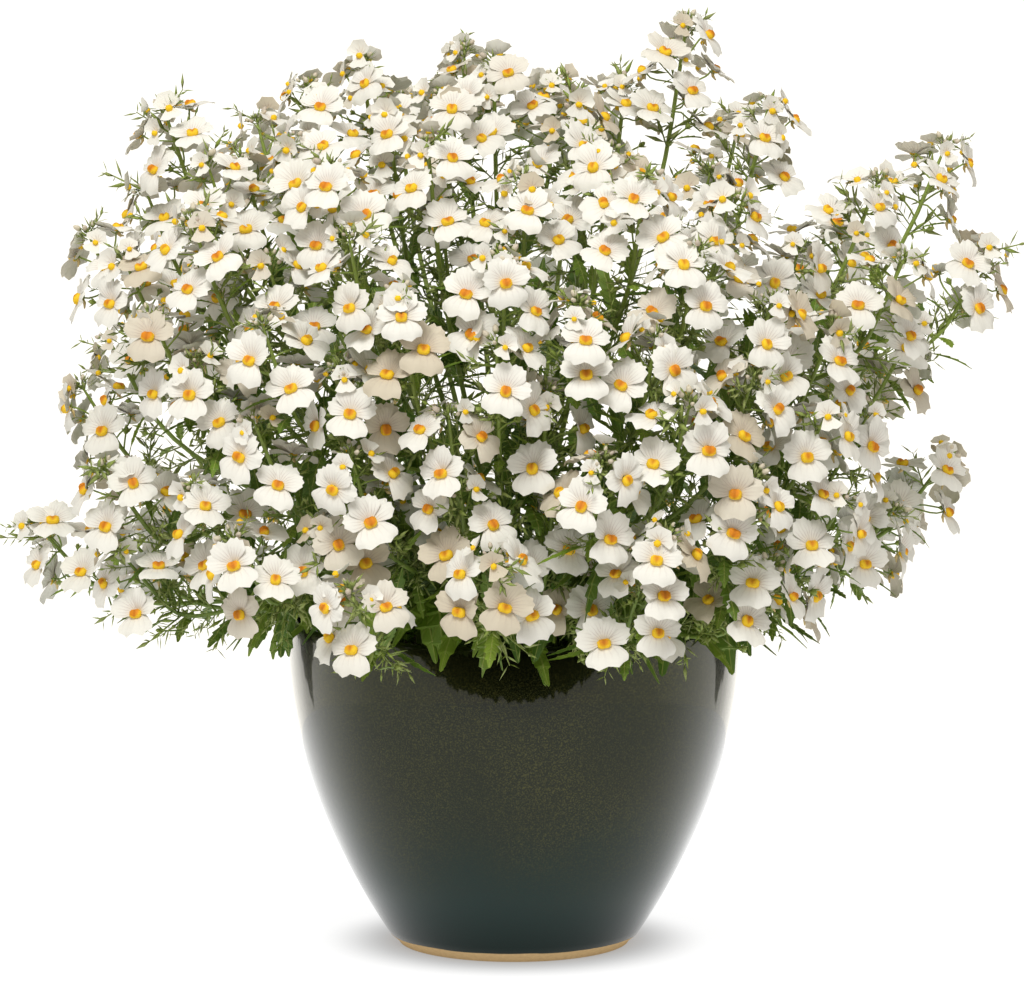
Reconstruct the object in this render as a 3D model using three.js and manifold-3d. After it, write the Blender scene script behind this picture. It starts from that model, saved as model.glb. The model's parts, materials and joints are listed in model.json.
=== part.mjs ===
// A potted nemesia: white two-lipped flowers on branching stems, in a round glazed pot.
// Millimetres, +Z up, with the pot's flat underside centred on the origin and its front toward -Y.
import * as THREE from 'three';
import { mergeVertices } from 'three/addons/utils/BufferGeometryUtils.js';
import Module from 'manifold-3d';

const wasm = await Module();
wasm.setup();

const { Vector3, MathUtils } = THREE;
const UP = new Vector3(0, 0, 1);

// Pot
const potSides = 28;
const potHeight = 162;
const footRadius = 59.5;
const rimRadius = 114;
const wall = 6;
const floorThickness = 8;
const rimRound = 2;
const bellyPower = 2.05;
const outsideHeights = [0, 12, 26, 44, 66, 92, 124, 162];
const insideHeights = [8, 26, 60, 100, 144, 162];

// Soil
const clearance = 0.3;
const soilSides = 14;
const soilTop = 144;
const soilRings = [76, 50, 25];
const soilBump = 2.5;
const soilWaves = [13, 17];

// Stems
const crownRadius = 84;
const crownHeight = 150;
const widestAngle = 80;
const stemRadius = 2;
const tipRadius = 1.3;
const stemDepth = 8;
const headLean = 0.55;
// How far a bend's control points lie from its ends, as shares of its reach.
const bendStart = 0.4;
const bendEnd = 0.35;
// Shares of a stem's way at which its rings lie. Side heads and leaves grow just above the fork.
const lowRing = 0.1;
const middleRing = 0.34;
const forkRing = 0.6;
const upperRing = 0.64;
const branchSplay = 0.6;
const branchRing = 0.5;

// Heads: the first blooms sit highest, and each next one turns by the golden angle and sits lower.
// Three blooms share a level, so each level's ring turns by what three of those turns leave over.
const goldenAngle = 137.5;
const levelTurn = 3 * goldenAngle - 360;
const firstRingTurn = -97;
const bloomsPerHead = 6;
const bloomStep = 5.6;
const bloomTop = 3;
const bloomReach = [14, 15.5, 17, 18];
const nodeTop = 10;
const nodeStep = 13;
const tuftHeight = 9;
// The share of a level, from its top, at which its stalks leave.
const stalkLevel = 0.66;

// Blooms
const bloomRadius = 11.3;
const petalRoom = 3.9;
const petalRoomShare = 0.62;
const throatDepth = 3.2;
const throatRadius = 1.3;
const stalkRoom = 1.2;
const stalkProbes = [0.35, 0.6, 0.85];
const palateHeight = 1.6;
// A bloom looks outward and up, and away from its head, more so behind it. Its top leans back.
const faceAhead = 0.8;
const faceAway = 0.5;
const faceBehind = 0.4;
const topAway = 0.35;
const faceJitter = 0.2;
const rollJitter = 0.4;
const sizeJitter = 0.06;
// A bloom that finds its place taken tries a little to either side, in degrees.
const nudges = [0, 25, -25];
// Petal points by angle from the bloom's right, share of its radius, and share forward of its plane.
const petals = [
  [14, 1, 0.02], [66, 1, -0.06], [114, 1, -0.06], [166, 1, 0.02], [236, 1, -0.16], [304, 1, -0.16],
];

// Leaves
const leafThickness = 1.2;
const petioleShare = 0.16;
const rimLeaf = { halfWidth: 7.5, stations: [0.34, 0.42, 0.6, 0.68, 0.84] };
const rimLeafFrom = 45;
const rimLeafTurns = [15, -15, 30, -30, 0, 45, -45];
const rimLeafReach = 142;
const rimLeafDrop = 10;
const rimLeafLift = 38;
const stemLeaf = { length: 30, rise: 15, arch: 6, halfWidth: 4.5, stations: [0.4, 0.68] };
const notchDepth = 0.72;

// The heads of each stem, its main one first, as the place of the tuft and, on the tall spire, the
// number of blooms. Widths and heights are read off the photograph; depths follow the ball's shape.
const stems = [
  [[-170, -50, 420], [-145, -110, 395]],
  [[-180, -40, 380], [-205, -75, 360]],
  [[-185, -110, 350], [-170, -140, 325]],
  [[-150, -150, 370], [-150, -150, 305]],
  [[-135, 10, 390]],
  [[-150, -75, 340]],
  [[-100, -50, 430], [-105, -120, 405]],
  [[-75, -10, 440], [-60, -90, 415]],
  [[-85, -155, 395], [-75, -205, 365]],
  [[-25, 30, 445], [20, 40, 430]],
  [[-10, -20, 440], [-35, -65, 425]],
  [[-40, -150, 405], [-35, -75, 375]],
  [[5, -160, 390], [-5, -210, 355]],
  [[55, 0, 430], [30, -70, 420]],
  [[45, -120, 400], [60, -180, 390]],
  [[85, -10, 460, 9]],
  [[125, -20, 420], [95, -60, 390]],
  [[160, 15, 365]],
  [[100, -155, 380], [135, -115, 355]],
  [[175, -70, 385], [185, -110, 350]],
  [[212, -20, 400], [232, -35, 350]],
  [[85, -190, 360], [65, -200, 320]],
  [[-115, -145, 350], [-115, -195, 325]],
  [[-52, -210, 340], [-80, -190, 305]],
  [[-8, -215, 318], [30, -205, 335]],
  [[80, -210, 290], [40, -220, 265]],
  [[150, -140, 320], [120, -170, 335]],
  [[195, -60, 315], [170, -95, 275]],
  [[-210, -60, 285], [-195, -110, 250]],
  [[-120, -185, 280], [-130, -185, 225]],
  [[-150, -150, 245], [-190, -100, 210]],
  [[-75, -195, 265], [-60, -135, 240]],
  [[-30, -205, 285], [15, -195, 295]],
  [[110, -185, 300], [145, -160, 280]],
  [[155, -150, 240], [110, -195, 255]],
  [[-238, -10, 212]],
  [[-190, -60, 214]],
  [[-90, -175, 230], [-75, -210, 205]],
  [[-25, -195, 250], [-10, -220, 220]],
  [[18, -168, 240], [40, -150, 205]],
  [[70, -210, 230], [58, -195, 204]],
  [[120, -165, 210]],
  [[185, -60, 225], [145, -100, 210]],
  [[215, -10, 245]],
  [[185, 105, 285], [200, 55, 215]],
  [[115, 180, 285], [155, 140, 215]],
  [[15, 215, 285], [70, 195, 215]],
  [[-85, 195, 285], [-30, 210, 215]],
  [[-170, 130, 285], [-120, 170, 215]],
  [[-205, 40, 300], [-190, 90, 220]],
  [[115, 70, 410], [175, 70, 350]],
  [[110, 150, 350]],
  [[30, 110, 420], [0, 185, 350]],
  [[-60, 95, 420], [-110, 155, 350]],
  [[-130, 50, 410], [-175, 80, 350]],
];

const clay = new THREE.MeshStandardMaterial({ color: 0x1c2420, roughness: 0.18, metalness: 0 });
const peat = new THREE.MeshStandardMaterial({ color: 0x2a1d14, roughness: 0.95, metalness: 0 });
const plant = new THREE.MeshStandardMaterial({ color: 0xf1f1ea, roughness: 0.6, metalness: 0 });

// A repeatable draw between 0 and 1.
let seed = 86;
function draw() {
  seed = (seed * 1664525 + 1013904223) % 4294967296;
  return seed / 4294967296;
}

function jitter(size) {
  return (draw() * 2 - 1) * size;
}

// Everything that is already placed, as round rooms that later pieces keep out of.
const rooms = [];
const roomStep = 5;

function isFree(wanted) {
  return wanted.every(({ centre, radius }) => rooms.every(
    (room) => room.centre.distanceTo(centre) > room.radius + radius + clearance,
  ));
}

// A closed surface that grows: a tube can start from any face, which it replaces.
class Growth {
  constructor() {
    this.points = [];
    this.faces = [];
  }

  ring(points) {
    return points.map((point) => this.points.push(point) - 1);
  }

  face(...corners) {
    this.faces.push(corners);
    return corners;
  }

  take(face) {
    this.faces.splice(this.faces.indexOf(face), 1);
  }

  middle(face) {
    const sum = new Vector3();
    face.forEach((corner) => sum.add(this.points[corner]));
    return sum.divideScalar(face.length);
  }

  // Whether a side with these corners in turn bulges when it is split from its first to its third.
  bulges(...corners) {
    const [a, b, c, d] = corners.map((corner) => this.points[corner]);
    const outward = b.clone().sub(a).cross(c.clone().sub(a));
    return outward.dot(d.clone().sub(a)) < 0;
  }

  // Six faces between two rings of three. The lower face of each side is where a stalk can grow.
  band(lower, upper) {
    return [0, 1, 2].map((side) => {
      const next = (side + 1) % 3;
      const corners = [lower[side], lower[next], upper[next], upper[side]];
      const [a, b, c, d] = corners;
      if (this.bulges(...corners)) {
        this.face(a, c, d);
        return this.face(a, b, c);
      }
      this.face(b, c, d);
      return this.face(a, b, d);
    });
  }

  // Faces between a ring of three and a wider rim, both turning the same way.
  flare(ring, rim) {
    let inner = 0;
    for (let outer = 0; outer < rim.length; outer += 1) {
      const next = (outer + 1) % rim.length;
      this.face(ring[inner % 3], rim[next], rim[outer]);
      if ((outer + 1) * 3 >= (inner + 1) * rim.length) {
        this.face(ring[inner % 3], ring[(inner + 1) % 3], rim[next]);
        inner += 1;
      }
    }
  }

  fan(rim, point) {
    const [tip] = this.ring([point]);
    rim.forEach((corner, i) => this.face(corner, rim[(i + 1) % rim.length], tip));
  }

  geometry() {
    const geometry = new THREE.BufferGeometry();
    const positions = this.points.flatMap((point) => point.toArray());
    geometry.setAttribute('position', new THREE.Float32BufferAttribute(positions, 3));
    geometry.setIndex(this.faces.flat());
    geometry.computeVertexNormals();
    return geometry;
  }
}

// Three points around a centre, seen turning left by someone the direction points at.
function triangle(centre, direction, start, radius) {
  const across = start.clone().addScaledVector(direction, -start.dot(direction)).normalize();
  return [0, 120, 240].map((turn) => across.clone()
    .applyAxisAngle(direction, MathUtils.degToRad(turn))
    .multiplyScalar(radius)
    .add(centre));
}

// Picks the order of a ring that joins a face with the shortest edges.
function bestOrder(growth, face, ring) {
  const orders = [0, 1, 2].map((shift) => [0, 1, 2].map((i) => ring[(i + shift) % 3]));
  const edges = (order) => face.reduce((sum, corner, i) => {
    const point = growth.points[corner];
    return sum + point.distanceToSquared(order[i]) + point.distanceToSquared(order[(i + 1) % 3]);
  }, 0);
  return orders.reduce((best, order) => (edges(order) < edges(best) ? order : best));
}

// A small ring beyond a face. Seen along the run between them, the face's furthest corner and a
// corner of the ring are in line.
function alignedRing(growth, face, centre, direction, radius) {
  const middle = growth.middle(face);
  const run = centre.clone().sub(middle).normalize();
  const arms = face.map((corner) => growth.points[corner].clone().sub(middle).projectOnPlane(run));
  const furthest = arms.reduce((best, arm, i) => (arm.length() > arms[best].length() ? i : best), 0);
  const ring = triangle(centre, direction, arms[furthest], radius);
  return growth.ring([0, 1, 2].map((i) => ring[(i - furthest + 3) % 3]));
}

// How far a place lies from straight up, seen from the crown, in degrees.
function angleFromTop(place) {
  return MathUtils.radToDeg(Math.atan2(Math.hypot(place.x, place.y), place.z - crownHeight));
}

function outwardFrom(place) {
  return new Vector3(place.x, place.y, 0).normalize();
}

// Heads lean outward more, the lower they are on the plant.
function headAxis(tip) {
  const lean = MathUtils.degToRad(angleFromTop(tip) * headLean);
  return outwardFrom(tip).multiplyScalar(Math.sin(lean)).addScaledVector(UP, Math.cos(lean));
}

function readHead([x, y, z, blooms = bloomsPerHead]) {
  const tip = new Vector3(x, y, z);
  const axis = headAxis(tip);
  const length = nodeTop + nodeStep * Math.ceil(blooms / 3);
  const foot = tip.clone().addScaledVector(axis, -length);
  return { tip, axis, foot, blooms, outward: outwardFrom(tip) };
}

// A stem bends from one direction into another on its way.
function bend(start, from, end, to) {
  const reach = start.distanceTo(end);
  return new THREE.CubicBezierCurve3(
    start,
    start.clone().addScaledVector(from, reach * bendStart),
    end.clone().addScaledVector(to, -reach * bendEnd),
    end,
  );
}

function reserveCurve(curve, radius) {
  const count = Math.ceil(curve.getLength() / roomStep);
  for (let i = 0; i <= count; i += 1) rooms.push({ centre: curve.getPoint(i / count), radius });
}

// The direction away from a head's axis, turned from its own starting direction.
function aroundHead(head, turn) {
  return new Vector3().crossVectors(head.axis, head.outward).cross(head.axis).normalize()
    .applyAxisAngle(head.axis, MathUtils.degToRad(head.turn + turn));
}

function reserveHead({ tip, axis, foot }) {
  reserveCurve(new THREE.LineCurve3(foot, tip.clone().addScaledVector(axis, tuftHeight)), stemRadius);
}

// Works out where a stem runs, before anything is placed on any stem. Its start is the way its
// first corner looks at the foot, chosen so that one side looks to the branch at the fork.
function planStem([mainPlace, sidePlace]) {
  const main = readHead(mainPlace);
  const spread = crownRadius * angleFromTop(main.tip) / widestAngle;
  const base = main.outward.clone().multiplyScalar(spread).setZ(soilTop + soilBump);
  const curve = bend(base, UP, main.foot, main.axis);
  const along = curve.getTangent(forkRing);
  const tilt = new THREE.Quaternion().setFromUnitVectors(UP, along);
  const plan = { main, base, curve, tilt, start: main.outward };
  reserveCurve(curve, stemRadius);
  reserveHead(main);
  if (sidePlace) {
    const fork = curve.getPoint(forkRing);
    const head = readHead(sidePlace);
    const across = head.foot.clone().sub(fork).projectOnPlane(along).normalize();
    const leaving = along.clone().addScaledVector(across, branchSplay).normalize();
    const branch = bend(fork, leaving, head.foot, head.axis);
    reserveCurve(branch, stemRadius);
    reserveHead(head);
    plan.side = { head, curve: branch };
    plan.start = across.applyQuaternion(tilt.clone().invert()).applyAxisAngle(UP, Math.PI / 3);
  }
  return plan;
}

// The point that an angle from the bloom's right, a share of its radius and a share forward give.
function bloomPoint({ centre, right, top, facing, size }, angle, share, forward) {
  const turn = MathUtils.degToRad(angle);
  const radius = bloomRadius * size;
  return centre.clone()
    .addScaledVector(right, Math.cos(turn) * radius * share)
    .addScaledVector(top, Math.sin(turn) * radius * share)
    .addScaledVector(facing, radius * forward);
}

// A bloom keeps a small room at its middle, on each petal and along its stalk.
function bloomRooms(bloom, node) {
  const wanted = [{ centre: bloom.centre, radius: petalRoom }];
  petals.forEach(([angle]) => {
    wanted.push({ centre: bloomPoint(bloom, angle, petalRoomShare, 0), radius: petalRoom });
  });
  stalkProbes.forEach((share) => {
    wanted.push({ centre: node.clone().lerp(bloom.throat, share), radius: stalkRoom });
  });
  return wanted;
}

// Finds a free place for one bloom on a head, or none.
function planBloom(head, order) {
  const reach = bloomReach[Math.min(order, bloomReach.length - 1)];
  const tilt = new Vector3(jitter(faceJitter), jitter(faceJitter), jitter(faceJitter));
  const roll = jitter(rollJitter);
  const size = 1 + jitter(sizeJitter);
  const level = Math.floor(order / 3);
  const node = head.tip.clone().addScaledVector(head.axis, -nodeTop - nodeStep * (level + stalkLevel));
  for (const nudge of nudges) {
    const away = aroundHead(head, order * goldenAngle + nudge);
    const centre = head.tip.clone()
      .addScaledVector(head.axis, -bloomTop - bloomStep * order)
      .addScaledVector(away, reach);
    const behind = (1 - away.dot(head.outward)) / 2;
    const facing = head.outward.clone().add(UP).normalize()
      .add(tilt)
      .multiplyScalar(faceAhead)
      .addScaledVector(away, faceAway + faceBehind * behind)
      .normalize();
    const top = UP.clone().addScaledVector(away, -topAway);
    top.addScaledVector(facing, -top.dot(facing)).normalize().applyAxisAngle(facing, roll);
    const right = top.clone().cross(facing);
    const throat = centre.clone().addScaledVector(facing, -throatDepth);
    const bloom = { centre, right, top, facing, throat, level, size };
    const wanted = bloomRooms(bloom, node);
    if (isFree(wanted)) {
      rooms.push(...wanted);
      return bloom;
    }
  }
  return null;
}

function placeBlooms(head) {
  head.turn = draw() * 360;
  head.placed = [];
  for (let order = 0; order < head.blooms; order += 1) {
    const bloom = planBloom(head, order);
    if (bloom) head.placed.push(bloom);
  }
}

// A bloom on its stalk: a slim stalk, the back of the petals, their edge, and the raised palate.
function growBloom(growth, face, bloom) {
  const { centre, facing, top, right, throat } = bloom;
  growth.take(face);
  const ring = alignedRing(growth, face, throat, facing, throatRadius);
  growth.band(face, ring);
  const first = growth.points[ring[0]].clone().sub(throat);
  const start = MathUtils.radToDeg(Math.atan2(first.dot(top), first.dot(right)));
  const turned = petals.map((petal) => [(petal[0] - start + 780) % 360, bloomPoint(bloom, ...petal)]);
  turned.sort((a, b) => a[0] - b[0]);
  const rim = growth.ring(turned.map(([, point]) => point));
  growth.flare(ring, rim);
  growth.fan(rim, centre.clone().addScaledVector(facing, palateHeight));
}

// The ring below a level of blooms, turned so that each side faces one of them.
function headRing(growth, lower, head, level) {
  const centre = head.tip.clone().addScaledVector(head.axis, -nodeTop - nodeStep * level);
  const start = aroundHead(head, firstRingTurn + levelTurn * level);
  return growth.ring(bestOrder(growth, lower, triangle(centre, head.axis, start, tipRadius)));
}

// The straight end of a stem, with its blooms and the tuft at its tip.
function growHead(growth, foot, head) {
  let lower = foot;
  for (let level = Math.ceil(head.blooms / 3) - 1; level >= 0; level -= 1) {
    const upper = headRing(growth, lower, head, level);
    const sides = growth.band(lower, upper);
    head.placed.filter((bloom) => bloom.level === level)
      .forEach((bloom) => growBloom(growth, freeSide(growth, sides, head.tip, bloom.centre), bloom));
    lower = upper;
  }
  growth.fan(lower, head.tip.clone().addScaledVector(head.axis, tuftHeight));
}

// A tube along a curve and on to a head. Returns the sides of the curve's bands, from the bottom up.
function growTube(growth, ring, curve, head, shares, radius) {
  let lower = ring;
  const bands = shares.map((share) => {
    const width = MathUtils.lerp(radius, tipRadius, share);
    const upper = alignedRing(growth, lower, curve.getPoint(share), curve.getTangent(share), width);
    const sides = growth.band(lower, upper);
    lower = upper;
    return sides;
  });
  const foot = headRing(growth, lower, head, Math.ceil(head.blooms / 3));
  growth.band(lower, foot);
  growHead(growth, foot, head);
  return bands;
}

// The side of a band that looks most toward a place and still has nothing on it.
function freeSide(growth, sides, from, place) {
  const direction = place.clone().sub(from);
  const towards = (face) => growth.middle(face).sub(from).dot(direction);
  const free = sides.filter((face) => growth.faces.includes(face));
  return free.reduce((best, face) => (towards(face) > towards(best) ? face : best));
}

// Two edges and a keel across a blade, seen turning left from its tip.
function leafRing(curve, share, width) {
  const centre = curve.getPoint(share);
  const along = curve.getTangent(share);
  const across = along.clone().cross(UP).normalize();
  const below = along.clone().cross(across).normalize();
  return [
    centre.clone().addScaledVector(across, width),
    centre.clone().addScaledVector(below, leafThickness),
    centre.clone().addScaledVector(across, -width),
  ];
}

// Half the width of a blade along its way, without its teeth.
function bladeWidth(leaf, place) {
  return leaf.halfWidth * Math.sqrt(Math.sin(Math.PI * place));
}

// A blade's stations are teeth and notches in turn, and it ends in a point.
function leafWidth(leaf, i) {
  return bladeWidth(leaf, leaf.stations[i]) * (i % 2 === 0 ? 1 : notchDepth);
}

function planLeaf(leaf, stem, share, end, lift) {
  const start = stem.curve.getPoint(share);
  const middle = start.clone().lerp(end, 0.5).addScaledVector(UP, lift);
  const curve = new THREE.QuadraticBezierCurve3(start, middle, end);
  const wanted = [];
  for (let place = petioleShare; place < 1; place += 0.07) {
    const radius = place < leaf.stations[0] * 0.8 ? stalkRoom : bladeWidth(leaf, place);
    wanted.push({ centre: curve.getPoint(place), radius });
  }
  if (!isFree(wanted)) return null;
  rooms.push(...wanted);
  return { leaf, curve };
}

// Outer stems carry a long leaf that arches over the pot's rim.
function planRimLeaf(stem) {
  if (angleFromTop(stem.main.tip) < rimLeafFrom) return null;
  const side = draw() < 0.5 ? 1 : -1;
  const reach = rimLeafReach + jitter(6);
  const height = potHeight - rimLeafDrop + jitter(5);
  for (const turn of rimLeafTurns) {
    const end = stem.main.outward.clone().applyAxisAngle(UP, MathUtils.degToRad(turn * side))
      .multiplyScalar(reach)
      .setZ(height);
    const plan = planLeaf(rimLeaf, stem, lowRing / 2, end, rimLeafLift);
    if (plan) return plan;
  }
  return null;
}

// A leaf stands at the fork, on one of the two sides without the branch.
function planStemLeaf(stem) {
  const share = (forkRing + upperRing) / 2;
  const turn = MathUtils.degToRad((draw() < 0.5 ? 60 : 180) + jitter(10));
  const away = stem.start.clone().applyAxisAngle(UP, turn).applyQuaternion(stem.tilt);
  const end = stem.curve.getPoint(share)
    .addScaledVector(away, stemLeaf.length)
    .addScaledVector(UP, stemLeaf.rise);
  return planLeaf(stemLeaf, stem, share, end, stemLeaf.arch);
}

function growLeaf(growth, sides, { leaf, curve }) {
  const face = freeSide(growth, sides, curve.getPoint(0), curve.getPoint(petioleShare));
  growth.take(face);
  const petiole = curve.getPoint(petioleShare);
  let lower = alignedRing(growth, face, petiole, curve.getTangent(petioleShare), tipRadius);
  growth.band(face, lower);
  leaf.stations.forEach((station, i) => {
    const ring = leafRing(curve, station, leafWidth(leaf, i));
    const upper = growth.ring(bestOrder(growth, lower, ring));
    growth.band(lower, upper);
    lower = upper;
  });
  growth.fan(lower, curve.getPoint(1));
}

// The closed prism of a stem's straight foot, or of the hole that it stands in.
function growFoot(growth, { base, start }, bottom, radius) {
  const buried = base.clone().setZ(bottom);
  const lower = growth.ring(triangle(buried, UP, start, radius));
  growth.face(lower[2], lower[1], lower[0]);
  const upper = growth.ring(triangle(base, UP, start, radius));
  growth.band(lower, upper);
  return upper;
}

function stemGeometry(stem) {
  const growth = new Growth();
  const collar = growFoot(growth, stem, soilTop - stemDepth, stemRadius);
  const shares = [middleRing, forkRing, upperRing];
  if (stem.rimLeaf) shares.unshift(lowRing);
  const bands = growTube(growth, collar, stem.curve, stem.main, shares, stemRadius);
  const fork = bands.at(-1);
  if (stem.side) {
    const { head, curve } = stem.side;
    const face = freeSide(growth, fork, curve.getPoint(0), curve.getPoint(0.4));
    growth.take(face);
    growTube(growth, face, curve, head, [branchRing], tipRadius);
  }
  if (stem.rimLeaf) growLeaf(growth, bands[0], stem.rimLeaf);
  if (stem.stemLeaf) growLeaf(growth, fork, stem.stemLeaf);
  return growth.geometry();
}

// The pot swells quickly from its foot and stands nearly upright at its rim.
function potRadius(height) {
  return footRadius + (rimRadius - footRadius) * (1 - (1 - height / potHeight) ** bellyPower);
}

function latheOf(outline, sides) {
  const points = outline.map(([radius, height]) => new THREE.Vector2(radius, height));
  const lathe = new THREE.LatheGeometry(points, sides).rotateX(Math.PI / 2);
  lathe.deleteAttribute('normal');
  lathe.deleteAttribute('uv');
  return mergeVertices(lathe, 1e-3);
}

function potGeometry() {
  const outside = outsideHeights.map((height) => [potRadius(height), height]);
  const inside = insideHeights.map((height) => [potRadius(height) - wall, height]).reverse();
  const rim = [rimRadius - wall / 2, potHeight + rimRound];
  return latheOf([[0, 0], ...outside, rim, ...inside, [0, floorThickness]], potSides);
}

function toSolid(geometry) {
  return new wasm.Manifold(new wasm.Mesh({
    numProp: 3,
    vertProperties: geometry.getAttribute('position').array,
    triVerts: Uint32Array.from(geometry.index.array),
  }));
}

function toGeometry(solid) {
  const { vertProperties, triVerts } = solid.getMesh();
  const geometry = new THREE.BufferGeometry();
  geometry.setAttribute('position', new THREE.Float32BufferAttribute(vertProperties, 3));
  geometry.setIndex([...triVerts]);
  geometry.computeVertexNormals();
  return geometry;
}

// Soil fills the pot, with an uneven top and a plain hole for each stem.
function soilGeometry(plants) {
  const side = insideHeights.filter((height) => height <= soilTop).map(
    (height) => [potRadius(height) - wall - clearance, Math.max(height, floorThickness + clearance)],
  );
  const top = soilRings.map((radius) => [radius, soilTop]);
  const axisBottom = [0, floorThickness + clearance];
  const body = latheOf([axisBottom, ...side, ...top, [0, soilTop]], soilSides);
  const position = body.getAttribute('position');
  for (let i = 0; i < position.count; i += 1) {
    const x = position.getX(i);
    const y = position.getY(i);
    if (position.getZ(i) === soilTop && Math.hypot(x, y) < soilRings[0] + 1) {
      position.setZ(i, soilTop + soilBump * Math.sin(x / soilWaves[0]) * Math.cos(y / soilWaves[1]));
    }
  }
  return toGeometry(plants.reduce((soil, plan) => {
    const hole = new Growth();
    const upper = growFoot(hole, plan, soilTop - stemDepth - clearance, stemRadius + 2 * clearance);
    hole.face(...upper);
    return soil.subtract(toSolid(hole.geometry()));
  }, toSolid(body)));
}

function named(name, geometry, material) {
  const mesh = new THREE.Mesh(geometry, material);
  mesh.name = name;
  return mesh;
}

// Stems are laid out first, then leaves over the rim, blooms, and leaves at the forks, each clear
// of all before it.
const plants = stems.map(planStem);
for (const plan of plants) plan.rimLeaf = planRimLeaf(plan);
for (const plan of plants) {
  placeBlooms(plan.main);
  if (plan.side) placeBlooms(plan.side.head);
}
for (const plan of plants) plan.stemLeaf = planStemLeaf(plan);

const nemesia = new THREE.Group();
nemesia.add(named('pot', potGeometry(), clay));
nemesia.add(named('soil', soilGeometry(plants), peat));
plants.forEach((plan, i) => {
  const number = String(i + 1).padStart(2, '0');
  nemesia.add(named(`flowering_stem_${number}`, stemGeometry(plan), plant));
});

export default nemesia;
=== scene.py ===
"""The looks of a potted nemesia: white two-lipped flowers, toothed leaves and a dark glazed pot."""

import json
import math
from functools import cached_property

import bpy
import numpy as np
from bpy.props import FloatProperty, FloatVectorProperty, PointerProperty
from mathutils import Matrix, Quaternion, Vector

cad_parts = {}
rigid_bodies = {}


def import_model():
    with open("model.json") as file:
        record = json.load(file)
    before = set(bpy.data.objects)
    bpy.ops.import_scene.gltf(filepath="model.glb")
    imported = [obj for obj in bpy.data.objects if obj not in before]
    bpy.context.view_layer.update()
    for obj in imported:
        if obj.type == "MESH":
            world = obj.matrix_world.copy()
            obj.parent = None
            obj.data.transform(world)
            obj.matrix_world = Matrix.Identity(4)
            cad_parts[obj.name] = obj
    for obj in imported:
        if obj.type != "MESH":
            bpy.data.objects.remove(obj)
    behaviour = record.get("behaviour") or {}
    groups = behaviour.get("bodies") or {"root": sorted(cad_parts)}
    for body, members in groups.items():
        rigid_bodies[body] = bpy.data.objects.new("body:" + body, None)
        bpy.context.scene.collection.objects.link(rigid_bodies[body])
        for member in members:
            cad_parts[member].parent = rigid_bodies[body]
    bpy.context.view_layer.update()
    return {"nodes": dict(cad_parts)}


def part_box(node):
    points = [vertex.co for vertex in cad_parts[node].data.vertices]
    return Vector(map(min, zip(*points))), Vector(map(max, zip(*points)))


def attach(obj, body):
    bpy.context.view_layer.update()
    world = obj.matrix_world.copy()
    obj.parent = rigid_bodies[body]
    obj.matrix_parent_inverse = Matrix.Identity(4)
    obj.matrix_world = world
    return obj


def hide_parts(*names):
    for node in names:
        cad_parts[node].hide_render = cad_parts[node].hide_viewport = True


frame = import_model()
solid_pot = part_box("pot")

bl_info = {
    "name": "Potted nemesia",
    "version": (1, 0, 0),
    "blender": (4, 5, 0),
    "location": "View3D > Sidebar > Nemesia",
    "description": "Builds the finished flowers, leaves, soil and pot on the packed solids",
    "category": "Object",
}

MM = 0.001
UP = np.array([0.0, 0.0, 1.0])
STEM_NODES = sorted(name for name in frame["nodes"] if name.startswith("flowering_stem"))

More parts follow.
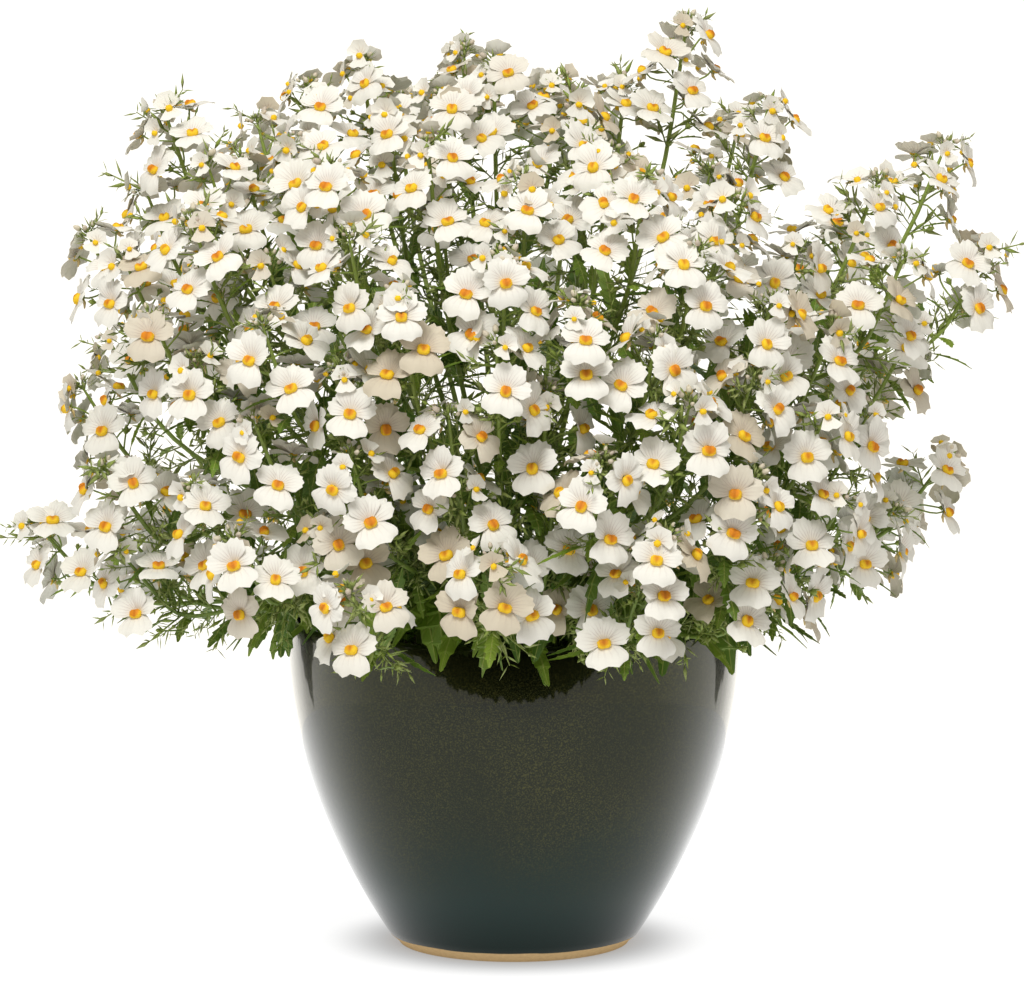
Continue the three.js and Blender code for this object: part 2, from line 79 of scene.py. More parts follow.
# The heads of each stem, its main one first, as the place of the tuft in millimetres and, on the
# tall spire, the number of blooms.
STEMS = [
    [[-170, -50, 420], [-145, -110, 395]],
    [[-180, -40, 380], [-205, -75, 360]],
    [[-185, -110, 350], [-170, -140, 325]],
    [[-150, -150, 370], [-150, -150, 305]],
    [[-135, 10, 390]],
    [[-150, -75, 340]],
    [[-100, -50, 430], [-105, -120, 405]],
    [[-75, -10, 440], [-60, -90, 415]],
    [[-85, -155, 395], [-75, -205, 365]],
    [[-25, 30, 445], [20, 40, 430]],
    [[-10, -20, 440], [-35, -65, 425]],
    [[-40, -150, 405], [-35, -75, 375]],
    [[5, -160, 390], [-5, -210, 355]],
    [[55, 0, 430], [30, -70, 420]],
    [[45, -120, 400], [60, -180, 390]],
    [[85, -10, 460, 9]],
    [[125, -20, 420], [95, -60, 390]],
    [[160, 15, 365]],
    [[100, -155, 380], [135, -115, 355]],
    [[175, -70, 385], [185, -110, 350]],
    [[212, -20, 400], [232, -35, 350]],
    [[85, -190, 360], [65, -200, 320]],
    [[-115, -145, 350], [-115, -195, 325]],
    [[-52, -210, 340], [-80, -190, 305]],
    [[-8, -215, 318], [30, -205, 335]],
    [[80, -210, 290], [40, -220, 265]],
    [[150, -140, 320], [120, -170, 335]],
    [[195, -60, 315], [170, -95, 275]],
    [[-210, -60, 285], [-195, -110, 250]],
    [[-120, -185, 280], [-130, -185, 225]],
    [[-150, -150, 245], [-190, -100, 210]],
    [[-75, -195, 265], [-60, -135, 240]],
    [[-30, -205, 285], [15, -195, 295]],
    [[110, -185, 300], [145, -160, 280]],
    [[155, -150, 240], [110, -195, 255]],
    [[-238, -10, 212]],
    [[-190, -60, 214]],
    [[-90, -175, 230], [-75, -210, 205]],
    [[-25, -195, 250], [-10, -220, 220]],
    [[18, -168, 240], [40, -150, 205]],
    [[70, -210, 230], [58, -195, 204]],
    [[120, -165, 210]],
    [[185, -60, 225], [145, -100, 210]],
    [[215, -10, 245]],
    [[185, 105, 285], [200, 55, 215]],
    [[115, 180, 285], [155, 140, 215]],
    [[15, 215, 285], [70, 195, 215]],
    [[-85, 195, 285], [-30, 210, 215]],
    [[-170, 130, 285], [-120, 170, 215]],
    [[-205, 40, 300], [-190, 90, 220]],
    [[115, 70, 410], [175, 70, 350]],
    [[110, 150, 350]],
    [[30, 110, 420], [0, 185, 350]],
    [[-60, 95, 420], [-110, 155, 350]],
    [[-130, 50, 410], [-175, 80, 350]],
]

# Where stems, blooms and leaves stand, as in the solids: lengths in millimetres, angles in degrees.
CROWN_RADIUS = 84
CROWN_HEIGHT = 150
WIDEST_ANGLE = 80
BASE_HEIGHT = 146.5
HEAD_LEAN = 0.55
BEND_START = 0.4
BEND_END = 0.35
LOW_RING = 0.1
FORK_RING = 0.6
UPPER_RING = 0.64
BRANCH_SPLAY = 0.6
BRANCH_TURN = 60
GOLDEN_ANGLE = 137.5
BLOOMS_PER_HEAD = 6
BLOOMS_PER_NODE = 3
BLOOM_STEP = 5.6
BLOOM_TOP = 3
BLOOM_REACH = [14, 15.5, 17, 18]
NODE_TOP = 10
NODE_STEP = 13
STALK_LEVEL = 0.66
BLOOM_RADIUS = 11.3
THROAT_DEPTH = 3.2
PALATE_HEIGHT = 1.6
FACE_AHEAD = 0.8
FACE_AWAY = 0.5
FACE_BEHIND = 0.4
TOP_AWAY = 0.35
FACE_JITTER = 0.2
ROLL_JITTER = 0.4
SIZE_JITTER = 0.06
NUDGES = [0, 25, -25]
POT_HEIGHT = 162
RIM_LEAF_FROM = 45
RIM_LEAF_TURNS = [15, -15, 30, -30, 0, 45, -45]
RIM_LEAF_REACH = 142
RIM_LEAF_REACH_JITTER = 6
RIM_LEAF_DROP = 10
RIM_LEAF_DROP_JITTER = 5
RIM_LEAF_LIFT = 38
RIM_LEAF_WIDTH = 7.5
STEM_LEAF_TURNS = [60, 180]
STEM_LEAF_TURN_JITTER = 10
STEM_LEAF_LENGTH = 30
STEM_LEAF_RISE = 15
STEM_LEAF_ARCH = 6
STEM_LEAF_WIDTH = 4.5
SAME_PLACE = 0.1
DRAW_FACTOR = 1664525
DRAW_STEP = 1013904223
DRAW_RANGE = 2 ** 32


class Draws:
    """Repeatable draws between 0 and 1."""

    def __init__(self, seed):
        self.seed = seed

    def draw(self):
        self.seed = (self.seed * DRAW_FACTOR + DRAW_STEP) % DRAW_RANGE
        return self.seed / DRAW_RANGE

    def jitter(self, size):
        return (self.draw() * 2 - 1) * size

    def between(self, low, high):
        return low + (high - low) * self.draw()

    def pick(self, count):
        return int(self.draw() * count)

    def sign(self):
        return 1 if self.draw() < 0.5 else -1


def unit(vector):
    return vector / np.linalg.norm(vector)


def level_way(turn):
    """The level direction at a turn in radians."""
    return np.array([math.cos(turn), math.sin(turn), 0.0])


def round_turns(count):
    """Turns in radians, spread evenly round."""
    return np.arange(count) * 2 * math.pi / count


def leaning(away, lean):
    """The direction that leans from straight up toward a level one."""
    return away * math.sin(lean) + UP * math.cos(lean)


def without(vector, way):
    """The unit direction of what is left of a vector without its share along a unit way."""
    return unit(vector - way * np.dot(vector, way))


def turned(vector, axis, degrees):
    """The vector turned about a unit axis."""
    angle = math.radians(degrees)
    along = axis * np.dot(axis, vector) * (1 - math.cos(angle))
    return vector * math.cos(angle) + np.cross(axis, vector) * math.sin(angle) + along


def angle_from_top(place):
    return math.degrees(math.atan2(math.hypot(place[0], place[1]), place[2] - CROWN_HEIGHT))


def outward_from(place):
    return unit(np.array([place[0], place[1], 0.0]))


class Bezier:
    """A smooth curve through its first and last control point."""

    def __init__(self, *controls):
        self.controls = [np.array(control, float) for control in controls]

    def point(self, share):
        points = self.controls
        while len(points) > 1:
            points = [a + (b - a) * share for a, b in zip(points, points[1:])]
        return points[0]

    def along(self, share):
        step = 1e-4
        return unit(self.point(min(1, share + step)) - self.point(max(0, share - step)))


def bend(start, leaving, end, arriving):
    reach = np.linalg.norm(end - start)
    first = start + leaving * reach * BEND_START
    return Bezier(start, first, end - arriving * reach * BEND_END, end)


class Head:
    """The straight end of a stem, with its blooms round it."""

    def __init__(self, row):
        self.tip = np.array(row[:3], float)
        self.blooms = row[3] if len(row) > 3 else BLOOMS_PER_HEAD
        self.outward = outward_from(self.tip)
        lean = math.radians(angle_from_top(self.tip) * HEAD_LEAN)
        self.axis = leaning(self.outward, lean)
        self.foot = self.down(NODE_TOP + NODE_STEP * math.ceil(self.blooms / BLOOMS_PER_NODE))
        self.flat = unit(np.cross(np.cross(self.axis, self.outward), self.axis))
        self.turn = 0
        self.placed = []

    def down(self, way):
        return self.tip - self.axis * way

    def around(self, turn):
        return turned(self.flat, self.axis, self.turn + turn)


class Bloom:
    """The place of one flower, with its own right, top and facing directions."""

    def __init__(self, head, order, nudge, tilt, roll, size):
        away = head.around(order * GOLDEN_ANGLE + nudge)
        reach = BLOOM_REACH[min(order, len(BLOOM_REACH) - 1)]
        behind = (1 - np.dot(away, head.outward)) / 2
        ahead = (unit(head.outward + UP) + tilt) * FACE_AHEAD
        self.away = away
        self.size = size
        self.centre = head.down(BLOOM_TOP + BLOOM_STEP * order) + away * reach
        self.facing = unit(ahead + away * (FACE_AWAY + FACE_BEHIND * behind))
        top = without(UP - away * TOP_AWAY, self.facing)
        self.top = turned(top, self.facing, math.degrees(roll))
        self.right = np.cross(self.top, self.facing)
        self.root = head.down(NODE_TOP + NODE_STEP * (order // BLOOMS_PER_NODE + STALK_LEVEL))


class Stem:
    """One flowering stem, laid out as its solid is."""

    def __init__(self, row, node):
        self.corners = np.array([vertex.co for vertex in node.data.vertices]) / MM
        self.heads = [Head(place) for place in row]
        main = self.heads[0]
        spread = CROWN_RADIUS * angle_from_top(main.tip) / WIDEST_ANGLE
        base = main.outward * spread + UP * BASE_HEIGHT
        self.curve = bend(base, UP, main.foot, main.axis)
        self.curves = [self.curve]
        self.leaves = []
        self.tilt_axis = np.cross(UP, self.curve.along(FORK_RING))
        self.tilt = math.degrees(math.asin(min(1, np.linalg.norm(self.tilt_axis))))
        self.tilt_axis = unit(self.tilt_axis)
        self.start = main.outward
        if len(self.heads) > 1:
            self.grow_branch(self.heads[1])

    def grow_branch(self, head):
        fork = self.curve.point(FORK_RING)
        along = self.curve.along(FORK_RING)
        across = without(head.foot - fork, along)
        leaving = unit(along + across * BRANCH_SPLAY)
        self.curves.append(bend(fork, leaving, head.foot, head.axis))
        self.start = turned(turned(across, self.tilt_axis, -self.tilt), UP, BRANCH_TURN)

    def holds(self, place):
        return np.min(np.sum((self.corners - place) ** 2, 1)) < SAME_PLACE ** 2

    def place_blooms(self, draws):
        """A bloom stands at the first of its tries where the solid has one."""
        for head in self.heads:
            head.turn = draws.draw() * 360
            for order in range(head.blooms):
                tilt = np.array([draws.jitter(FACE_JITTER) for _ in range(3)])
                roll = draws.jitter(ROLL_JITTER)
                size = 1 + draws.jitter(SIZE_JITTER)
                for nudge in NUDGES:
                    bloom = Bloom(head, order, nudge, tilt, roll, size)
                    if self.holds(bloom.centre + bloom.facing * PALATE_HEIGHT):
                        head.placed.append(bloom)
                        break

    def place_rim_leaf(self, draws):
        outward = self.heads[0].outward
        if angle_from_top(self.heads[0].tip) < RIM_LEAF_FROM:
            return
        side = draws.sign()
        reach = RIM_LEAF_REACH + draws.jitter(RIM_LEAF_REACH_JITTER)
        height = POT_HEIGHT - RIM_LEAF_DROP + draws.jitter(RIM_LEAF_DROP_JITTER)
        for turn in RIM_LEAF_TURNS:
            end = turned(outward, UP, turn * side) * reach + UP * height
            if self.add_leaf(LOW_RING / 2, end, RIM_LEAF_LIFT, RIM_LEAF_WIDTH):
                return

    def place_stem_leaf(self, draws):
        share = (FORK_RING + UPPER_RING) / 2
        turn = STEM_LEAF_TURNS[draws.pick(2)] + draws.jitter(STEM_LEAF_TURN_JITTER)
        away = turned(turned(self.start, UP, turn), self.tilt_axis, self.tilt)
        end = self.curve.point(share) + away * STEM_LEAF_LENGTH + UP * STEM_LEAF_RISE
        self.add_leaf(share, end, STEM_LEAF_ARCH, STEM_LEAF_WIDTH)

    def add_leaf(self, share, end, lift, width):
        if not self.holds(end):
            return False
        start = self.curve.point(share)
        self.leaves.append((Bezier(start, (start + end) / 2 + UP * lift, end), width))
        return True


def lay_out_stems():
    stems = [Stem(row, frame["nodes"][name]) for row, name in zip(STEMS, STEM_NODES)]
    draws = Draws(86)
    for stem in stems:
        stem.place_rim_leaf(draws)
    for stem in stems:
        stem.place_blooms(draws)
    for stem in stems:
        stem.place_stem_leaf(draws)
    return stems


plants = lay_out_stems()


def open_socket(sockets, name):
    """The socket in use that has a name or an identifier."""
    return next(each for each in sockets if each.enabled and name in (each.name, each.identifier))


class Value:
    """A node's output, which can stand in a sum."""

    def __init__(self, graph, node, socket):
        self.graph = graph
        self.node = node
        self.socket = socket

    def out(self, name):
        return Value(self.graph, self.node, open_socket(self.node.outputs, name))

    def __add__(self, other):
        return self.graph.math("ADD", self, other)

    def __sub__(self, other):
        return self.graph.math("SUBTRACT", self, other)

    def __rsub__(self, other):
        return self.graph.math("SUBTRACT", other, self)

    def __mul__(self, other):
        return self.graph.math("MULTIPLY", self, other)

    def __truediv__(self, other):
        return self.graph.math("DIVIDE", self, other)

    __radd__ = __add__


class Graph:
    """Adds nodes to the tree of a material, of the world or of a form that grows."""

    def __init__(self, tree):
        self.tree = tree

    def node(self, kind, settings=None, sockets=None):
        """Adds a node of one type: its settings first, then the values or links of its sockets."""
        node = self.tree.nodes.new(kind)
        for name, value in (settings or {}).items():
            setattr(node, name, value)
        for name, value in (sockets or {}).items():
            socket = node.inputs[name] if isinstance(name, int) else open_socket(node.inputs, name)
            if isinstance(value, Value):
                self.tree.links.new(value.socket, socket)
            else:
                socket.default_value = value
        first = next((socket for socket in node.outputs if socket.enabled), None)
        return Value(self, node, first)

    def math(self, operation, a, b=0.0):
        return self.node("ShaderNodeMath", {"operation": operation}, {0: a, 1: b})

    def mix(self, share, a, b):
        """A mix of two colours, each a node's output or three numbers."""
        a, b = (each if isinstance(each, Value) else (*each, 1.0) for each in (a, b))
        return self.node("ShaderNodeMix", {"data_type": "RGBA"}, {"Factor": share, "A": a, "B": b})

    def rise(self, value, low, high):
        """0 below the low end, 1 above the high end, and smooth between."""
        sockets = {"Value": value, "From Min": low, "From Max": high}
        return self.node("ShaderNodeMapRange", {"interpolation_type": "SMOOTHSTEP"}, sockets)

    @cached_property
    def place(self):
        return self.node("ShaderNodeTexCoord").out("Object")

    def noise(self, scale, detail=2.0, place=None):
        sockets = {"Vector": place or self.place, "Scale": scale, "Detail": detail}
        return self.node("ShaderNodeTexNoise", {}, sockets)

    def parts(self, vector):
        """The three numbers of a vector."""
        split = self.node("ShaderNodeSeparateXYZ", {}, {"Vector": vector})
        return split.out("X"), split.out("Y"), split.out("Z")

    def attribute(self, name, output="Fac"):
        return self.node("ShaderNodeAttribute", {"attribute_name": name}).out(output)

    def marks(self):
        """The three numbers that a shape leaves on each of its points."""
        return self.parts(self.attribute("mark", "Vector"))

    def bump(self, height, distance, strength=1.0):
        sockets = {"Height": height, "Distance": distance, "Strength": strength}
        return self.node("ShaderNodeBump", {}, sockets)


def new_material(name, sockets_for):
    """A material whose surface takes its sockets from a function of its graph."""
    material = bpy.data.materials.new(name)
    material.use_nodes = True
    material.node_tree.nodes.clear()
    graph = Graph(material.node_tree)
    surface = graph.node("ShaderNodeBsdfPrincipled", {}, sockets_for(graph))
    graph.node("ShaderNodeOutputMaterial", {}, {"Surface": surface})
    return material


def new_form_tree(name, sockets):
    """A node tree for forms, with named inputs, its input node and its graph."""
    tree = bpy.data.node_groups.new(name, "GeometryNodeTree")
    for label, kind in {"Geometry": "NodeSocketGeometry", **sockets}.items():
        tree.interface.new_socket(name=label, in_out="INPUT", socket_type=kind)
    tree.interface.new_socket(name="Geometry", in_out="OUTPUT", socket_type="NodeSocketGeometry")
    graph = Graph(tree)
    return graph, graph.node("NodeGroupInput")


def end_form_tree(graph, shape, material):
    whole = graph.node("GeometryNodeRealizeInstances", {}, {"Geometry": shape})
    coloured = graph.node("GeometryNodeSetMaterial", {}, {"Geometry": whole, "Material": material})
    graph.node("NodeGroupOutput", {}, {"Geometry": coloured})
    return graph.tree


def named(graph, name, kind):
    return graph.node("GeometryNodeInputNamedAttribute", {"data_type": kind}, {"Name": name})


def scatter_tree():
    """Sets a shape on each point, turned, sized and picked by the point's attributes."""
    sockets = {"Shapes": "NodeSocketCollection", "Size": "NodeSocketFloat",
               "Material": "NodeSocketMaterial"}
    graph, given = new_form_tree("scattered_shapes", sockets)
    shapes = graph.node("GeometryNodeCollectionInfo", {}, {
        "Collection": given.out("Shapes"), "Separate Children": True, "Reset Children": True,
    })
    placed = graph.node("GeometryNodeInstanceOnPoints", {}, {
        "Points": given.out("Geometry"),
        "Instance": shapes,
        "Pick Instance": True,
        "Instance Index": named(graph, "pick", "INT"),
        "Rotation": named(graph, "turn", "QUATERNION"),
        "Scale": named(graph, "size", "FLOAT") * given.out("Size"),
    })
    return end_form_tree(graph, placed, given.out("Material"))


def sweep_tree(name, flat):
    """Draws a flat folded or a round section along lines, as wide as each of their points says."""
    sockets = {"Sides": "NodeSocketInt", "Fold": "NodeSocketFloat", "Thickness": "NodeSocketFloat",
               "Material": "NodeSocketMaterial"}
    graph, given = new_form_tree(name, sockets)
    lines = graph.node("GeometryNodeMeshToCurve", {}, {"Mesh": given.out("Geometry")})
    if flat:
        lines = graph.node("GeometryNodeSetCurveNormal", {"mode": "Z_UP"}, {"Curve": lines})
        fold = given.out("Fold")
        keel = graph.node("ShaderNodeCombineXYZ", {}, {"Y": fold * -1.0})
        back = graph.node("ShaderNodeCombineXYZ", {}, {"Y": (fold + given.out("Thickness")) * -1.0})
        section = graph.node("GeometryNodeCurvePrimitiveQuadrilateral", {"mode": "POINTS"}, {
            "Point 1": (-1.0, 0.0, 0.0), "Point 2": keel,
            "Point 3": (1.0, 0.0, 0.0), "Point 4": back,
        })
        spot = graph.parts(graph.node("GeometryNodeInputPosition"))[0]
        kept = {"data_type": "FLOAT", "domain": "POINT"}
        section = graph.node("GeometryNodeStoreNamedAttribute", kept, {
            "Geometry": section, "Name": "across", "Value": spot,
        })
    else:
        section = graph.node("GeometryNodeCurvePrimitiveCircle", {}, {
            "Resolution": given.out("Sides"), "Radius": 1.0,
        })
    swept = graph.node("GeometryNodeCurveToMesh", {}, {
        "Curve": lines, "Profile Curve": section,
        "Scale": named(graph, "width", "FLOAT"), "Fill Caps": True,
    })
    sockets = {"Geometry": swept, "Shade Smooth": not flat}
    shaded = graph.node("GeometryNodeSetShadeSmooth", {}, sockets)
    return end_form_tree(graph, shaded, given.out("Material"))


def set_attribute(mesh, name, kind, domain, values):
    attribute = mesh.attributes.new(name, kind, domain)
    field = "vector" if kind == "FLOAT_VECTOR" else "value"
    attribute.data.foreach_set(field, np.array(values).ravel())


def grow(name, source, tree, inputs):
    """Runs a node tree on a mesh, keeps what it makes as a plain mesh, ties it to the body and
    hides the stems' solids.
    """
    piece = bpy.data.objects.new(name, source)
    bpy.context.scene.collection.objects.link(piece)
    modifier = piece.modifiers.new(name, "NODES")
    modifier.node_group = tree
    for item in tree.interface.items_tree:
        if item.in_out == "INPUT" and item.name in inputs:
            modifier[item.identifier] = inputs[item.name]
    depsgraph = bpy.context.evaluated_depsgraph_get()
    made = bpy.data.meshes.new_from_object(
        piece.evaluated_get(depsgraph), preserve_all_data_layers=True, depsgraph=depsgraph,
    )
    piece.modifiers.remove(modifier)
    piece.data = made
    made.name = name
    if enclosed(made) < 0:
        made.flip_normals()
    settle(piece, STEM_NODES)


def enclosed(mesh):
    """The volume inside a mesh, below 0 where its faces point inward."""
    mesh.calc_loop_triangles()
    corners = np.zeros(len(mesh.loop_triangles) * 3, np.int32)
    mesh.loop_triangles.foreach_get("vertices", corners)
    points = np.zeros(len(mesh.vertices) * 3, np.float32)
    mesh.vertices.foreach_get("co", points)
    a, b, c = points.reshape(-1, 3)[corners.reshape(-1, 3)].transpose(1, 0, 2).astype(float)
    return np.sum(a * np.cross(b, c)) / 6


def new_piece(name, mesh, material):
    mesh.materials.append(material)
    piece = bpy.data.objects.new(name, mesh)
    bpy.context.scene.collection.objects.link(piece)
    return piece


def settle(piece, nodes):
    """Ties a finished piece to the body and hides the solids that it stands for."""
    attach(piece, "root")
    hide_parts(*nodes)


class Shape:
    """A small closed form in millimetres. Its material reads the mark of each point."""

    def __init__(self):
        self.points = []
        self.marks = []
        self.faces = []
        self.sharp = set()

    def add(self, points, marks):
        first = len(self.points)
        self.points.extend(points)
        self.marks.extend(marks)
        return np.arange(first, len(self.points))

    def join(self, lower, upper):
        """Faces between two rings that turn left round the way from one to the other."""
        if len(lower) == 1:
            lower = np.repeat(lower, len(upper))
        if len(upper) == 1:
            upper = np.repeat(upper, len(lower))
        for a, b, c, d in zip(lower, np.roll(lower, -1), np.roll(upper, -1), upper):
            self.faces.append(list(dict.fromkeys([a, b, c, d])))

    def rings(self, rings):
        """A closed skin over rings, which may start and end in single points."""
        for lower, upper in zip(rings, rings[1:]):
            self.join(lower, upper)
        if len(rings[0]) > 1:
            self.faces.append(list(rings[0][::-1]))
        if len(rings[-1]) > 1:
            self.faces.append(list(rings[-1]))

    def tube(self, path, radii, sides, kind=0.0):
        path = [np.array(place, float) for place in path]
        way = unit(path[-1] - path[0])
        across = unit(np.cross(way, [0.31, 0.95, 0.05]))
        beside = np.cross(way, across)
        ways = [across * math.cos(turn) + beside * math.sin(turn) for turn in round_turns(sides)]
        rings = []
        for i, (place, radius) in enumerate(zip(path, radii)):
            ring = [place + radius * way for way in ways] if radius > 0 else [place]
            mark = (kind, i / (len(path) - 1), 0.0)
            rings.append(self.add(ring, [mark] * len(ring)))
        self.rings(rings)

    def blade(self, foot, way, face, length, half_width, kind=0.0):
        """A thin pointed leaf that lies along a way, with its upper side to a face direction."""
        way = unit(way)
        across = unit(np.cross(face, way))
        face = np.cross(way, across)
        middle = foot + way * length * 0.45
        ring = [
            middle + across * half_width, middle + face * 0.05,
            middle - across * half_width, middle - face * 0.3,
        ]
        rings = []
        for share, places in {0: [foot], 0.45: ring, 1: [foot + way * length]}.items():
            rings.append(self.add(places, [(kind, share, 0.0)] * len(places)))
        self.rings(rings)

    def ball(self, centre, radii, around, levels, dent=0.0, boxy=0.2, kind=None):
        """A closed round form. A dent makes a groove along Y in its upper side."""
        rings = []
        for level in np.linspace(math.pi, 0, levels + 1):
            turns = round_turns(around)
            if math.sin(level) < 1e-6:
                turns = turns[:1]
            corner = (np.cos(turns) ** 4 + np.sin(turns) ** 4) ** -boxy
            spots = np.stack([
                math.sin(level) * np.cos(turns) * corner, math.sin(level) * np.sin(turns) * corner,
                math.cos(level) + 0 * turns,
            ], 1)
            places = spots * radii
            places[:, 2] -= dent * np.exp(-(spots[:, 0] / 0.35) ** 2) * max(0, math.cos(level))
            marks = spots if kind is None else [(0.0, 1.0, kind)] * len(spots)
            rings.append(self.add(list(places + centre), [tuple(mark) for mark in marks]))
        self.rings(rings)

    def petal(self, u, v, grid, lower=0.0):
        """A thin closed petal over a grid of points, its front and back meeting along the edge.

        Its marks are the grid's two shares, and 1 on a lower lip.
        """
        front = np.stack(grid, 2)
        marks = np.stack([u, v, np.full_like(u, lower)], 2)
        normal = np.cross(np.gradient(front, axis=1), np.gradient(front, axis=0))
        normal /= np.linalg.norm(normal, axis=2, keepdims=True)
        rows, columns = front.shape[:2]
        upper = self.add(front.reshape(-1, 3), marks.reshape(-1, 3)).reshape(rows, columns)
        inner = (front - normal * PETAL_THICKNESS)[1:-1, 1:-1].reshape(-1, 3)
        back = upper.copy()
        back_marks = marks[1:-1, 1:-1].reshape(-1, 3)
        back[1:-1, 1:-1] = self.add(inner, back_marks).reshape(rows - 2, columns - 2)
        for i in range(rows - 1):
            for j in range(columns - 1):
                corners = [(i, j), (i, j + 1), (i + 1, j + 1), (i + 1, j)]
                self.faces.append([upper[corner] for corner in corners])
                self.faces.append([back[corner] for corner in corners[::-1]])
        edge = [*upper[0], *upper[1:, -1], *upper[-1, -2::-1], *upper[-2:0:-1, 0]]
        self.sharp |= {frozenset(pair) for pair in zip(edge, edge[1:] + edge[:1])}

    def mesh(self, name):
        mesh = bpy.data.meshes.new(name)
        faces = [[int(corner) for corner in face] for face in self.faces]
        mesh.from_pydata([tuple(float(x) * MM for x in point) for point in self.points], [], faces)
        mesh.shade_smooth()
        set_attribute(mesh, "mark", "FLOAT_VECTOR", "POINT", self.marks)
        sharp = [frozenset(edge.vertices) in self.sharp for edge in mesh.edges]
        set_attribute(mesh, "sharp_edge", "BOOLEAN", "EDGE", sharp)
        return mesh


class Points:
    """The points of a mesh that a form tree reads, with named values on each."""

    kinds = {}

    def __init__(self):
        self.places = []
        self.edges = []
        self.values = {name: [] for name in self.kinds}

    def mesh(self, name):
        mesh = bpy.data.meshes.new(name)
        mesh.from_pydata(self.places, self.edges, [])
        for label, values in self.values.items():
            set_attribute(mesh, label, self.kinds[label], "POINT", values)
        return mesh


class Spots(Points):
    """Points on which shapes are set."""

    kinds = {"turn": "QUATERNION", "size": "FLOAT", "pick": "INT", "tint": "FLOAT"}

    def add(self, place, turn, size, pick, tint):
        self.places.append(tuple(place * MM))
        for label, value in {"turn": tuple(turn), "size": size, "pick": pick, "tint": tint}.items():
            self.values[label].append(value)


class Lines(Points):
    """Lines along which sections are drawn."""

    kinds = {"width": "FLOAT", "along": "FLOAT", "tint": "FLOAT"}

    def add(self, points, widths, tint):
        first = len(self.places)
        count = len(points)
        self.places.extend(tuple(point * MM) for point in points)
        self.edges.extend((first + i, first + i + 1) for i in range(count - 1))
        self.values["width"].extend(width * MM for width in widths)
        self.values["along"].extend(i / (count - 1) for i in range(count))
        self.values["tint"].extend([tint] * count)


def scatter_blooms(name, spots, shapes, material):
    """Sets shapes on the spots of full flowers."""
    scatter(name, spots, shapes, material, bpy.context.scene.nemesia_flower.size)


def scatter(name, spots, shapes, material, size=1.0):
    """Sets shapes on spots as one plain piece."""
    shelf = bpy.data.collections.new(name + "_shapes")
    for i, shape in enumerate(shapes):
        label = f"{name}_shape_{i:02d}"
        shelf.objects.link(bpy.data.objects.new(label, shape.mesh(label)))
    inputs = {"Shapes": shelf, "Size": size, "Material": material}
    grow(name, spots.mesh(name + "_spots"), scatter_tree(), inputs)
    for shape in list(shelf.objects):
        bpy.data.objects.remove(shape)
    bpy.data.collections.remove(shelf)


def turn_of(right, top, facing):
    return Matrix((right, top, facing)).transposed().to_quaternion()


def turn_along(way, roll):
    """A turn whose Z runs along a way."""
    return Vector(way).to_track_quat("Z", "Y") @ Quaternion((0, 0, 1), roll)


# Flowers, buds and small leaves: lengths in millimetres, leans in radians, turns in degrees. Each
# petal lies in its flower's own directions: X right, Y top, Z facing.
LOBE_START = 1.0
LOBE_HALF_WIDTH = 5.1
TOP_LOBES = [-25, 25]
SIDE_LOBES = [-75, 75]
LOBE_VARIANTS = 6
LIP_NECK = 4.2
LIP_HALF_WIDTH = 9.6
LIP_REACH = 12.4
LIP_VARIANTS = 6
PALATE_VARIANTS = 4
PETAL_THICKNESS = 0.25
SEPALS = 5
SEPAL_SIZE = [3.6, 0.8]
SPENT_SEPAL_SIZE = [4.6, 0.9]
TUFT_LEAVES = 30
SPRIG_PAIRS = 5
SPRIG_HEIGHT = 18
BUDS_PER_HEAD = 5
YOUNG_PER_HEAD = 3
YOUNG_ON_TOP = 7
TOP_FROM = 375
YOUNG_VARIANTS = 4
YOUNG_START = 0.6
YOUNG_REACH = 6.6
YOUNG_SPREAD = 96
NOD = 0.22
UPPER_LEAN = 0.15
LOBE_TURN_JITTER = 5
LOBE_LEAN_JITTER = 0.1
LOBE_SIZE_JITTER = 0.06
TOP_LOBES_FORWARD = 0.35
RAISED_FROM = [280, 400]
RAISED = 0.35
SMALLER = 0.94


def upper_lobe(variant):
    """One of the four rounded lobes of the upper lip, growing along Y."""
    u, v = np.meshgrid(np.linspace(-1, 1, 7), np.linspace(0, 1, 5) ** 0.8)
    phase = 2.1 * variant
    width = LOBE_HALF_WIDTH * (0.28 + 0.72 * np.sin(np.minimum(v * 1.25, 1) * math.pi / 2))
    x = u * width * (1 - 0.2 * v ** 5)
    edge = 1 - 0.22 * np.abs(u) ** 2.6 * v ** 2 + 0.045 * np.cos(3 * math.pi * u) * v ** 2
    y = LOBE_START + (BLOOM_RADIUS - LOBE_START) * v * edge
    z = -THROAT_DEPTH * 0.8 * (1 - v) ** 2 + 0.3 - (0.7 + 1.5 * math.sin(phase)) * v ** 2.5
    z += 0.9 * (1 - u ** 2) * v * (1 - v) + 0.6 * v ** 2 * np.sin(6.2 * u + phase)
    shape = Shape()
    shape.petal(u, v, [x, y, z])
    return shape


